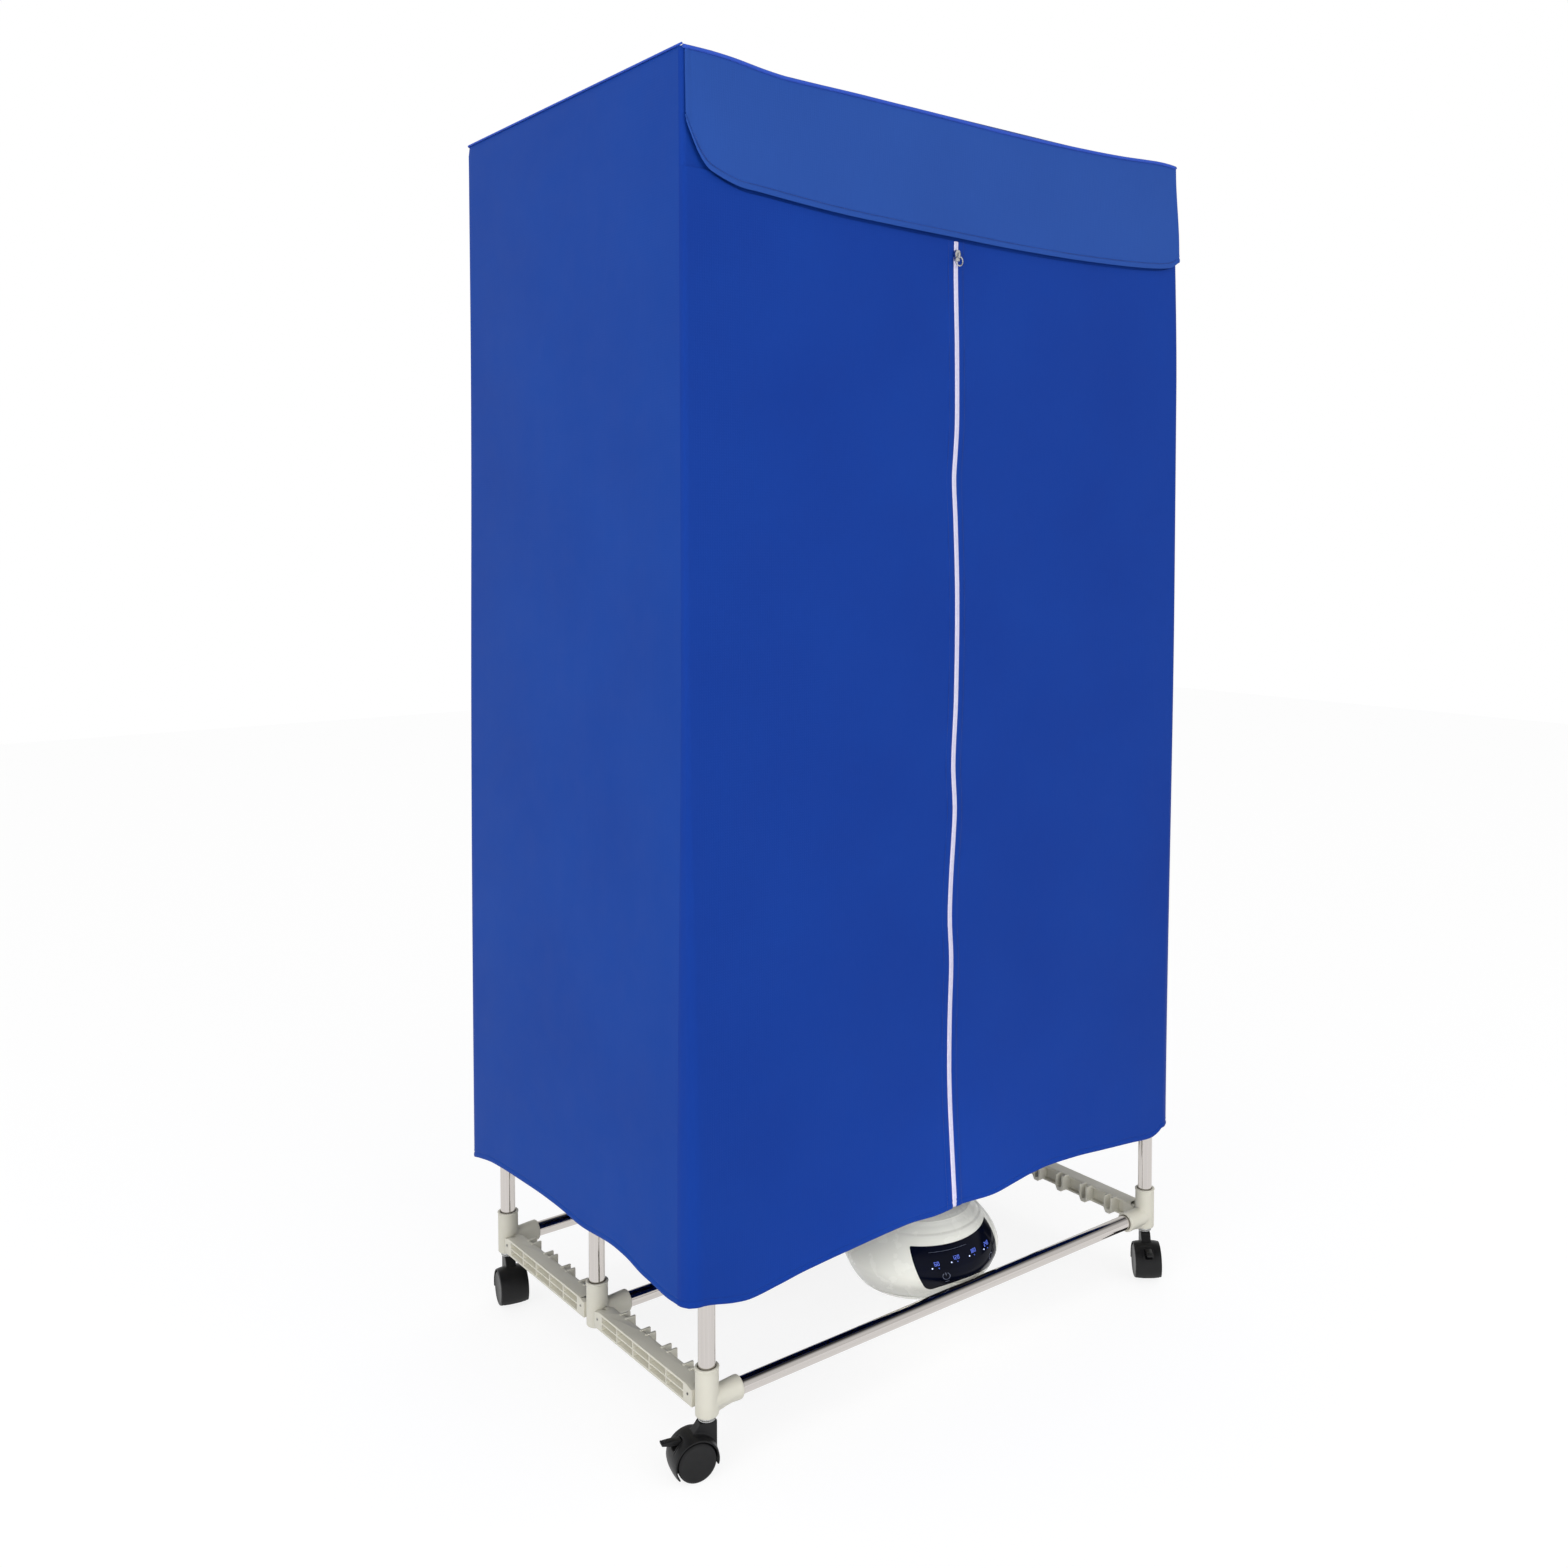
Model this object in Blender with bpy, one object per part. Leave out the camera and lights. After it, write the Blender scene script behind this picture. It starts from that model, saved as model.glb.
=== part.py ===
"""Portable clothes dryer: a wheeled tube frame with a fan heater, under a zipped fabric cover.

Metres, +Z up. The origin is on the floor under the middle of the frame. The front, with its
two door curtains, faces -Y, and +X runs to the right along the front.
"""
from math import asin, cos, pi, radians, sin

import bmesh
import bpy
from mathutils import Matrix, Vector

# Driving dimensions of the whole dryer
POST_SPACING_X = 0.700
POST_SPACING_Y = 0.490
OVERALL_HEIGHT = 1.500
CASTER_HEIGHT = 0.0625

# Clearances and construction
CLEARANCE = 0.0003
OVERRUN = 0.003
ROUND_SIDES = 12
SMOOTH_ANGLE = radians(35)

# Steel tubes and hanging rods
TUBE_RADIUS = 0.0095
TUBE_WALL = 0.0008
ROD_RADIUS = 0.0040
ROD_WALL = 0.0007

# Moulded connectors, alike apart from their tongues and their stem bore
SLEEVE_RADIUS = 0.01275
SLEEVE_LENGTH = 0.0535
SLEEVE_LIP = 0.0008
POST_SOCKET_DEPTH = 0.0250
ARM_REACH = 0.0400
ARM_RADIUS = 0.0123
ARM_MOUTH_RADIUS = 0.0131
ARM_RISE = 0.0160
ARM_SOCKET_FLOOR = 0.0130
GUSSET_RADIUS = 0.0070
GUSSET_REACH = 0.0330
GUSSET_SIDES = 8
TONGUE_WIDTH = 0.0070
TONGUE_HEIGHT = 0.0110
TONGUE_REACH = 0.0110
TONGUE_RISE = 0.0160

# Rack bars, which join the connectors along each side and hold rods in their clips
BAR_WIDTH = 0.0195
BAR_FACE = 0.0110
BAR_HEIGHT = 0.0215
BAR_END_DROP = 0.0030
BAR_END_RUN = 0.0140
BAR_RIB = 0.0016
BAR_RAIL = 0.0026
BAR_END_BLOCK = 0.0180
BAR_POCKET_DEPTH = 0.0100
BAR_POCKET_COLUMNS = 5
BAR_POCKET_ROW_COUNT = 2
BAR_CHANNEL_DEPTH = 0.0060
BAR_WINDOW_WIDTH = 0.0050
BAR_WINDOW_LENGTH = 0.0070
CLIP_COUNT = 4
CLIP_REACH = 0.0100
CLIP_WALL = 0.0030
CLIP_FACETS = 4
CLIP_SLOT_WIDTH = 2 * (ROD_RADIUS + CLEARANCE) / cos(pi / (2 * CLIP_FACETS))
CLIP_SLOT_DEPTH = 0.0135
CLIP_STAND = 0.0010
CLIP_DROP = 0.0015
CLIP_PITCH_SHARE = 0.215

# Twin-wheel casters
STEM_RADIUS = 0.0040
STEM_DEPTH = 0.0200
COLLAR_RADIUS = 0.0090
COLLAR_HEIGHT = 0.0050
WHEEL_RADIUS = 0.0215
WHEEL_WIDTH = 0.0128
WHEEL_CHAMFER = 0.0016
AXLE_RADIUS = 0.0030
WEB_WIDTH = 0.0090
WHEEL_TRAIL = 0.0160
HOOD_WIDTH = 0.0355
HOOD_WALL = 0.0026
HOOD_GAP = 0.0014
HOOD_BEVEL = 0.0022
HOOD_CROWN_ANGLES = (188, -20)
HOOD_CROWN_FACETS = 10
HOOD_HEEL_ANGLE = -26
HOOD_TOE_ANGLE = 196
NECK_WIDTH = 0.0130
NECK_BACK = 0.0095
NECK_SLOPE = 0.0060
WHEEL_SIDES = 20
POCKET_SIDES = 18
CASTER_TURNS = {"front_left": 167.0, "front_right": 231.0, "back_left": 258.0, "back_right": 45.0}
LEVER_LENGTH = 0.0195
LEVER_THICKNESS = 0.0030
LEVER_HUB_RADIUS = 0.0030
LEVER_TIP = 0.0035
LEVER_NECK_SHARE = 0.550
LEVER_AZIMUTH = radians(52)

# Fabric cover
COVER_SIDE_STANDOFF = 0.0340
COVER_FRONT_STANDOFF = 0.0170
CLOTH = 0.0024
COVER_CORNER_RADIUS = 0.0200
HEM_HEIGHT = 0.2000
HEM_WAVE = 0.0060
FOLD_DEPTH = 0.0080
FOLD_END_POWER = 0.5
FOLD_RISE_POWER = 1.5
WALL_FOLDS = {"left": (2.5, 0.6), "corner": (0.0, 0.0), "back": (4.0, 0.0)}
WALL_ROW_COUNT = 4
WALL_COLUMNS = 12
DOOR_FOLDS = 2.0
DOOR_HEM_PHASES = {"left": 0.4, "right": 2.4}
FLAP_FOLDS = 3.0
SEAM_GAP = 0.0300
FLAP_DROP = 0.1500
FLAP_CORNER_RUNS = {"left": 0.0700, "right": 0.0200}
FLAP_CORNER_RISES = {"left": 0.0550, "right": 0.0180}
FLAP_CORNER_POWER = 2.2
FLAP_GAP = 0.0030
ZIP_OFFSET = -0.0100
ZIP_TAPE = 0.0080

# Zip slider, its bridge and its ring pull
SLIDER_WIDTH = 0.0090
SLIDER_LENGTH = 0.0130
SLIDER_DEPTH = 0.0045
SLIDER_SHOULDER_SHARE = 0.60
SLIDER_WAIST_SHARE = 0.33
BRIDGE_WIDTH = 0.0030
BRIDGE_HEIGHT = 0.0060
BRIDGE_REACH = 0.0030
RING_RADIUS = 0.0054
RING_WIRE = 0.0009
RING_SIDES = 14
RING_WIRE_SIDES = 6

# Fan heater, a round moulded body that rides on the front and middle base tubes
HEATER_X = 0.0350
HEATER_RADIUS = 0.1000
HEATER_HEIGHT = 0.1040
HEATER_FRONT_GAP = 0.0025
HEATER_DROP = 0.0175
HEATER_WALL = 0.0025
HEATER_SPLIT_SHARE = 0.20
HEATER_SIDES = 26
HEATER_PROFILE_SHARES = (
    (0.000, 0.500), (0.035, 0.610), (0.100, 0.750), (0.190, 0.885), (0.285, 0.960), (0.385, 0.998),
    (0.480, 0.985), (0.575, 0.940), (0.670, 0.870), (0.760, 0.785), (0.850, 0.680), (0.930, 0.520),
    (0.980, 0.300), (1.000, 0.000),
)
CAP_RADIUS_SHARE = 0.640
CAP_LEDGE = 0.0030
OUTLET_RADIUS = 0.0360
OUTLET_SLOTS = 5
INTAKE_SLOTS = 6
INTAKE_SLOT_WIDTH = 0.0040
PANEL_THICKNESS = 0.0014
PANEL_PROUD = 0.0004
PANEL_TOP_ANGLE = radians(46)
PANEL_BOTTOM_ANGLE = radians(33)
PANEL_TOP_SHARE = 0.755
PANEL_BOTTOM_SHARE = 0.360
PANEL_TOP_DIP_SHARE = 0.075
PANEL_BOTTOM_DIP_SHARE = 0.070
SADDLE_WIDTH = 0.0500
SADDLE_WALL = 0.0022
HOOK_SPACING = 0.0700
HOOK_WIDTH = 0.0140
HOOK_WALL = 0.0032
HOOK_HEIGHT_SHARE = 0.400
GLAND_RADIUS = 0.0060
GLAND_BORE = 0.0032
GLAND_REACH = 0.0120
GLAND_TIP_RADIUS = 0.0048
GLAND_HEIGHT_SHARE = 0.450
FAN_RADIUS = 0.0560
FAN_HUB_RADIUS = 0.0130
FAN_HUB_HEIGHT = 0.0160
FAN_BLADES = 5
FAN_BLADE_THICKNESS = 0.0014
FAN_BLADE_PITCH = radians(32)
FAN_BLADE_CHORD = 0.0260
FAN_HEIGHT_SHARE = 0.330
MOTOR_RADIUS = 0.0170
MOTOR_SHAFT_RADIUS = 0.0015
ELEMENT_THICKNESS = 0.0100
ELEMENT_GAP = 0.0013
ELEMENT_HEIGHT_SHARE = 0.560
ELEMENT_SLOTS = 6
ELEMENT_RIM = 0.0120

# Places that follow from the sizes above
HALF_X = POST_SPACING_X / 2
HALF_Y = POST_SPACING_Y / 2
COVER_X = HALF_X + COVER_SIDE_STANDOFF
COVER_Y = HALF_Y + COVER_FRONT_STANDOFF
BASE_BOTTOM = CASTER_HEIGHT
BASE_TUBE_Z = BASE_BOTTOM + ARM_RISE
FRAME_TOP = OVERALL_HEIGHT - CLOTH - CLEARANCE
TOP_TUBE_Z = FRAME_TOP - ARM_RISE
BASE_BAR_Z = BASE_BOTTOM + TONGUE_RISE
TOP_BAR_Z = FRAME_TOP - TONGUE_RISE
BAY_LENGTH = HALF_Y - 2 * SLEEVE_RADIUS - 2 * CLEARANCE
HEATER_Y = -HALF_Y + HEATER_RADIUS + HEATER_FRONT_GAP
HEATER_BOTTOM = BASE_TUBE_Z - HEATER_DROP
HEATER_TOP = HEATER_BOTTOM + HEATER_HEIGHT
SIDES = {"left": -1, "right": 1}
ROWS = {"front": -1, "middle": 0, "back": 1}


def clear_scene():
    for obj in list(bpy.data.objects):
        bpy.data.objects.remove(obj, do_unlink=True)


def material(name, colour, roughness, metallic=0.0):
    mat = bpy.data.materials.new(name)
    mat.use_nodes = True
    shader = mat.node_tree.nodes["Principled BSDF"]
    shader.inputs["Base Color"].default_value = (*colour, 1.0)
    shader.inputs["Roughness"].default_value = roughness
    shader.inputs["Metallic"].default_value = metallic
    return mat


def make_materials():
    return {
        "cream": material("moulded_cream_plastic", (0.66, 0.65, 0.55), 0.45),
        "steel": material("polished_stainless_tube", (0.62, 0.60, 0.59), 0.16, 1.0),
        "black": material("black_nylon", (0.022, 0.022, 0.024), 0.42),
        "zinc": material("zinc_plated_steel", (0.58, 0.58, 0.57), 0.28, 1.0),
        "cloth": material("blue_polyester", (0.010, 0.052, 0.330), 0.78),
        "body": material("off_white_abs", (0.69, 0.70, 0.64), 0.30),
        "gloss": material("black_acrylic_panel", (0.006, 0.006, 0.012), 0.08),
        "fan": material("grey_fan_plastic", (0.30, 0.31, 0.32), 0.45),
        "element": material("finned_aluminium", (0.60, 0.60, 0.58), 0.42, 1.0),
    }


def new_object(name, mesh, mat, location=(0, 0, 0), turn=0.0, flip=0.0):
    """A named solid, turned about Z and, for the top frame, flipped about X first."""
    obj = bpy.data.objects.new(name, mesh)
    obj.location = location
    obj.rotation_euler = (flip, 0, turn)
    if not mesh.materials:
        mesh.materials.append(mat)
    bpy.context.scene.collection.objects.link(obj)
    return obj


def mesh_from(bm, name):
    mesh = bpy.data.meshes.new(name)
    bmesh.ops.recalc_face_normals(bm, faces=bm.faces)
    bm.to_mesh(mesh)
    bm.free()
    mesh.shade_smooth()
    mesh.set_sharp_from_angle(angle=SMOOTH_ANGLE)
    return mesh


def combined(name, base, adds=(), cuts=()):
    """The base mesh with solids added and cut, as one clean mesh."""
    helpers = [bpy.data.objects.new(name + "_work", base)]
    bpy.context.scene.collection.objects.link(helpers[0])
    steps = [(mesh, "UNION") for mesh in adds] + [(mesh, "DIFFERENCE") for mesh in cuts]
    for mesh, operation in steps:
        tool = bpy.data.objects.new(name + "_tool", mesh)
        tool.hide_render = True
        tool.display_type = "WIRE"
        bpy.context.scene.collection.objects.link(tool)
        step = helpers[0].modifiers.new(operation.lower(), "BOOLEAN")
        step.operation = operation
        step.object = tool
        helpers.append(tool)
    bpy.context.view_layer.update()
    finished = helpers[0].evaluated_get(bpy.context.evaluated_depsgraph_get())
    result = bpy.data.meshes.new_from_object(finished)
    result.name = name
    for helper in helpers:
        bpy.data.objects.remove(helper, do_unlink=True)
    result.shade_smooth()
    result.set_sharp_from_angle(angle=SMOOTH_ANGLE)
    return result


def mirrored(mesh, name):
    """The same moulding for the other hand, mirrored in X."""
    bm = bmesh.new()
    bm.from_mesh(mesh)
    bmesh.ops.scale(bm, vec=(-1, 1, 1), verts=bm.verts)
    return mesh_from(bm, name)


def cylinder(name, start, end, radius, end_radius=None, sides=ROUND_SIDES):
    """A solid round bar, or a cone, between two points."""
    start, end = Vector(start), Vector(end)
    along = end - start
    bm = bmesh.new()
    bmesh.ops.create_cone(
        bm, cap_ends=True, segments=sides, radius1=radius,
        radius2=radius if end_radius is None else end_radius, depth=along.length,
    )
    turn = along.to_track_quat("Z", "Y").to_matrix().to_4x4()
    bmesh.ops.transform(bm, matrix=Matrix.Translation((start + end) / 2) @ turn, verts=bm.verts)
    return mesh_from(bm, name)


def boxes(name, corners):
    """One mesh of separate boxes, each given by its lowest and highest corner."""
    bm = bmesh.new()
    for low, high in corners:
        low, high = Vector(low), Vector(high)
        size = high - low
        place = Matrix.Translation((low + high) / 2) @ Matrix.Diagonal((*size, 1))
        bmesh.ops.create_cube(bm, size=1, matrix=place)
    return mesh_from(bm, name)


def extruded(name, outline, low, high, axis="Y", bevel=0.0):
    """A flat outline, as (across, up) pairs, extruded along X or Y, with its rims bevelled."""
    bm = bmesh.new()
    way = "XY".index(axis)
    step = Vector((0, 0, 0))
    step[way] = high - low
    face = bm.faces.new([bm.verts.new((low, a, b) if axis == "X" else (a, low, b)) for a, b in outline])
    out = bmesh.ops.extrude_face_region(bm, geom=[face])
    moved = [item for item in out["geom"] if isinstance(item, bmesh.types.BMVert)]
    bmesh.ops.translate(bm, vec=step, verts=moved)
    if bevel:
        rims = [edge for edge in bm.edges if abs(edge.verts[1].co[way] - edge.verts[0].co[way]) < CLEARANCE]
        bmesh.ops.bevel(bm, geom=rims, offset=bevel, segments=1, affect="EDGES", clamp_overlap=True)
    return mesh_from(bm, name)


def turned(name, profile, sides, axis="Z"):
    """A closed profile of (radius, along) pairs turned about Z or Y."""
    bm = bmesh.new()
    rings = []
    for radius, along in profile:
        count = 1 if radius == 0 else sides
        ring = []
        for step in range(count):
            angle = 2 * pi * step / sides
            across, up = radius * cos(angle), radius * sin(angle)
            ring.append(bm.verts.new((across, up, along) if axis == "Z" else (across, along, up)))
        rings.append(ring)
    for first, second in zip(rings, rings[1:] + rings[:1]):
        for step in range(sides):
            after = (step + 1) % sides
            if len(first) > 1 and len(second) > 1:
                bm.faces.new((first[step], first[after], second[after], second[step]))
            elif len(first) > 1:
                bm.faces.new((first[step], first[after], second[0]))
            elif len(second) > 1:
                bm.faces.new((first[0], second[after], second[step]))
    return mesh_from(bm, name)


def arc(centre, radius, start, end, steps):
    """Points of an arc, angles in degrees from the across axis towards up."""
    turns = [radians(start + (end - start) * step / steps) for step in range(steps + 1)]
    return [(centre[0] + radius * cos(turn), centre[1] + radius * sin(turn)) for turn in turns]


def tube_mesh(name, length, radius, wall, sides=ROUND_SIDES):
    """An open tube along X, centred on its own origin."""
    half = length / 2
    profile = [(radius, -half), (radius, half), (radius - wall, half), (radius - wall, -half)]
    mesh = turned(name, profile, sides)
    mesh.transform(Matrix.Rotation(pi / 2, 4, "Y"))
    return mesh


def connector_mesh(name, tongues, caster_bore):
    """A moulded tee: a sleeve for the post, an arm along +X for a tube, and tongues along Y."""
    sleeve = turned("sleeve", [
        (0, 0), (SLEEVE_RADIUS, 0), (SLEEVE_RADIUS, SLEEVE_LENGTH - SLEEVE_LIP),
        (SLEEVE_RADIUS - SLEEVE_LIP, SLEEVE_LENGTH), (0, SLEEVE_LENGTH),
    ], ROUND_SIDES)
    arm = cylinder("arm", (0, 0, ARM_RISE), (ARM_REACH, 0, ARM_RISE), ARM_RADIUS, ARM_MOUTH_RADIUS)
    adds = [arm, gusset_mesh()]
    tongue_reach = SLEEVE_RADIUS + TONGUE_REACH
    for way in tongues:
        adds.append(boxes("tongue", [(
            (-TONGUE_WIDTH / 2, min(0, way * tongue_reach), TONGUE_RISE - TONGUE_HEIGHT / 2),
            (TONGUE_WIDTH / 2, max(0, way * tongue_reach), TONGUE_RISE + TONGUE_HEIGHT / 2),
        )]))
    bore = TUBE_RADIUS + CLEARANCE
    seat = SLEEVE_LENGTH - POST_SOCKET_DEPTH
    cuts = [
        cylinder("post_bore", (0, 0, seat), (0, 0, SLEEVE_LENGTH + OVERRUN), bore),
        cylinder("arm_bore", (ARM_SOCKET_FLOOR, 0, ARM_RISE), (ARM_REACH + OVERRUN, 0, ARM_RISE), bore),
    ]
    if caster_bore:
        stem = STEM_RADIUS + CLEARANCE
        cuts.append(cylinder("stem_bore", (0, 0, -OVERRUN), (0, 0, STEM_DEPTH + CLEARANCE), stem))
    return combined(name, sleeve, adds, cuts)


def gusset_mesh():
    """The fillet web under the arm, a hull from the sleeve's foot to the arm's underside."""
    bm = bmesh.new()
    turns = [2 * pi * step / GUSSET_SIDES for step in range(GUSSET_SIDES)]
    foot = [(GUSSET_RADIUS * cos(turn), GUSSET_RADIUS * sin(turn), SLEEVE_LIP) for turn in turns]
    under = ARM_RISE - ARM_RADIUS
    tip = [(GUSSET_REACH, side * GUSSET_RADIUS / 2, under + SLEEVE_LIP) for side in (-1, 1)]
    crown = [(x, side * GUSSET_RADIUS, ARM_RISE) for x in (0, GUSSET_REACH) for side in (-1, 1)]
    for point in foot + tip + crown:
        bm.verts.new(point)
    hull = bmesh.ops.convex_hull(bm, input=bm.verts)
    loose = [item for item in hull["geom_interior"] if isinstance(item, bmesh.types.BMVert)]
    bmesh.ops.delete(bm, geom=loose, context="VERTS")
    return mesh_from(bm, "gusset")


def clip_places():
    """Where the rod clips sit along a rack bar, from the bar's middle."""
    pitch = CLIP_PITCH_SHARE * BAY_LENGTH
    return [pitch * (place - (CLIP_COUNT - 1) / 2) for place in range(CLIP_COUNT)]


def rack_bar_mesh():
    """A bar along Y, its outer face towards -X: ladder of pockets outside, rod clips inside.

    Each end is a block with a socket for a connector's tongue and a window over the tongue's catch.
    Between the clips the inner side is a channel under the top rail.
    """
    half, top = BAY_LENGTH / 2, BAR_HEIGHT / 2
    face, side = -BAR_FACE, BAR_WIDTH - BAR_FACE
    run, drop = BAR_END_RUN, BAR_END_DROP
    ease = [(run * k / 3, drop * (1 - cos(pi * k / 3)) / 2) for k in range(4)]
    left = [(-half + a, top - drop + b) for a, b in ease]
    right = [(half - a, top - drop + b) for a, b in reversed(ease)]
    bar = extruded("bar", [(-half, -top)] + left + right + [(half, -top)], face, side, axis="X")

    clips = bmesh.new()
    slot = CLIP_SLOT_WIDTH / 2
    outer = slot + CLIP_WALL
    brim, floor = top + CLIP_STAND, top + CLIP_STAND - CLIP_SLOT_DEPTH
    fork = arc((0, floor), slot, 180, 360, CLIP_FACETS)
    outline = [(-slot, brim)] + fork + [(slot, brim), (outer, brim)]
    outline += arc((0, -top - CLIP_DROP + outer), outer, 0, -180, 3) + [(-outer, brim)]
    for place in clip_places():
        moved = [(place + a, b) for a, b in outline]
        clips.from_mesh(extruded("clip", moved, side - CLIP_WALL, side + CLIP_REACH, axis="X"))
    columns, rows = BAR_POCKET_COLUMNS, BAR_POCKET_ROW_COUNT
    start = -half + BAR_END_BLOCK
    cell = (2 * half - 2 * BAR_END_BLOCK + BAR_RIB) / columns
    rise = (BAR_HEIGHT - 2 * BAR_RAIL + BAR_RIB) / rows
    pockets = []
    for column in range(columns):
        for row in range(rows):
            y, z = start + column * cell, -top + BAR_RAIL + row * rise
            pockets.append((
                (face - OVERRUN, y, z), (face + BAR_POCKET_DEPTH, y + cell - BAR_RIB, z + rise - BAR_RIB),
            ))
    width, height = TONGUE_WIDTH / 2 + CLEARANCE, TONGUE_HEIGHT / 2 + CLEARANCE
    depth = TONGUE_REACH + CLEARANCE
    windows = []
    for way in (-1, 1):
        ends = sorted((way * (half - depth), way * (half + OVERRUN)))
        pockets.append(((-width, ends[0], -height), (width, ends[1], height)))
        middle = way * (half - depth / 2)
        windows.append((
            (-BAR_WINDOW_WIDTH / 2, middle - BAR_WINDOW_LENGTH / 2, 0),
            (BAR_WINDOW_WIDTH / 2, middle + BAR_WINDOW_LENGTH / 2, top + OVERRUN),
        ))
    edges = [start] + [place + way * outer for place in clip_places() for way in (-1, 1)] + [-start]
    channels = [(
        (side - BAR_CHANNEL_DEPTH, low, -top + BAR_RAIL), (side + OVERRUN, high, top - BAR_RAIL),
    ) for low, high in zip(edges[::2], edges[1::2])]
    cuts = [boxes("pockets", pockets), boxes("windows", windows), boxes("channels", channels)]
    return combined("rack_bar", bar, [mesh_from(clips, "clips")], cuts)


def build_frame(mats):
    corner = {
        "base": connector_mesh("base_corner", (1,), True),
        "top": connector_mesh("top_corner", (1,), False),
    }
    other = {level: mirrored(mesh, mesh.name + "_mirrored") for level, mesh in corner.items()}
    middle = connector_mesh("middle_tee", (-1, 1), False)
    bar = rack_bar_mesh()
    tube_length = 2 * (HALF_X - ARM_SOCKET_FLOOR - CLEARANCE)
    tube = tube_mesh("tube", tube_length, TUBE_RADIUS, TUBE_WALL)
    seat = SLEEVE_LENGTH - POST_SOCKET_DEPTH + CLEARANCE
    post = tube_mesh("post", FRAME_TOP - BASE_BOTTOM - 2 * seat, TUBE_RADIUS, TUBE_WALL)
    post.transform(Matrix.Rotation(pi / 2, 4, "Y"))
    levels = {
        "base": (BASE_BOTTOM, BASE_TUBE_Z, BASE_BAR_Z, 0.0),
        "top": (FRAME_TOP, TOP_TUBE_Z, TOP_BAR_Z, pi),
    }
    for level, (height, tube_z, bar_z, flip) in levels.items():
        for row, y_way in ROWS.items():
            for side, x_way in SIDES.items():
                name = f"{level}_{row}_{side}_connector"
                # A corner and its diagonal share a hand, and flipping about X swaps front and back
                same_hand = x_way * y_way * (-1 if flip else 1) > 0
                mesh = middle if y_way == 0 else (corner if same_hand else other)[level]
                turn = connector_turn(x_way, y_way, same_hand)
                new_object(name, mesh, mats["cream"], (x_way * HALF_X, y_way * HALF_Y, height), turn, flip)
            new_object(f"{level}_{row}_tube", tube, mats["steel"], (0, y_way * HALF_Y, tube_z))
        for side, x_way in SIDES.items():
            for row in ("front", "back"):
                place = (x_way * HALF_X, ROWS[row] * HALF_Y / 2, bar_z)
                turn = 0.0 if x_way < 0 else pi
                new_object(f"{level}_{side}_{row}_rack_bar", bar, mats["cream"], place, turn)
    for row, y_way in ROWS.items():
        for side, x_way in SIDES.items():
            place = (x_way * HALF_X, y_way * HALF_Y, (BASE_BOTTOM + FRAME_TOP) / 2)
            new_object(f"{row}_{side}_post", post, mats["steel"], place)


def connector_turn(x_way, y_way, same_hand):
    """The turn about Z that points a connector's arm inwards and its tongue along its side."""
    if y_way == 0 or same_hand:
        return 0.0 if x_way < 0 else pi
    return pi if x_way < 0 else 0.0


def build_rods(mats):
    """Hanging rods across the top frame, lying in the rack bars' clips."""
    reach = HALF_X - (BAR_WIDTH - BAR_FACE) - CLEARANCE
    rod = tube_mesh("rod", 2 * reach, ROD_RADIUS, ROD_WALL)
    floor = TOP_BAR_Z + BAR_HEIGHT / 2 + CLIP_STAND - CLIP_SLOT_DEPTH
    inner_clip = clip_places()[1]
    for row in ("front", "back"):
        y = ROWS[row] * (HALF_Y / 2) + inner_clip * ROWS[row]
        new_object(f"{row}_hanging_rod", rod, mats["steel"], (0, y, floor))


def hood_radius():
    return WHEEL_RADIUS + HOOD_GAP + HOOD_WALL


def hood_outline():
    """The caster hood from the side: a barrel round the wheels, open below, that trails the axis."""
    centre = (WHEEL_TRAIL, WHEEL_RADIUS)
    outer = hood_radius()
    crown = arc(centre, outer, *HOOD_CROWN_ANGLES, HOOD_CROWN_FACETS)
    rim = outer - HOOD_WALL / 2
    heel = arc(centre, rim, HOOD_HEEL_ANGLE, HOOD_HEEL_ANGLE, 1)[:1]
    toe = arc(centre, rim, HOOD_TOE_ANGLE, HOOD_TOE_ANGLE, 1)[:1]
    return crown + heel + [(WHEEL_TRAIL, WHEEL_RADIUS - 2 * AXLE_RADIUS)] + toe


def neck_mesh():
    """The block that rises from the barrel's web to the collar, flush with the barrel's front."""
    front = WHEEL_TRAIL - hood_radius()
    top = CASTER_HEIGHT - COLLAR_HEIGHT
    outline = [
        (front, WHEEL_RADIUS), (front, top), (NECK_BACK, top), (NECK_BACK + NECK_SLOPE, top - NECK_SLOPE),
        (NECK_BACK + NECK_SLOPE, WHEEL_RADIUS),
    ]
    return extruded("neck", outline, -NECK_WIDTH / 2, NECK_WIDTH / 2)


def lever_pivot():
    distance = WHEEL_RADIUS + HOOD_GAP + LEVER_HUB_RADIUS
    return (WHEEL_TRAIL + distance * cos(LEVER_AZIMUTH), WHEEL_RADIUS + distance * sin(LEVER_AZIMUTH))


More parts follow.
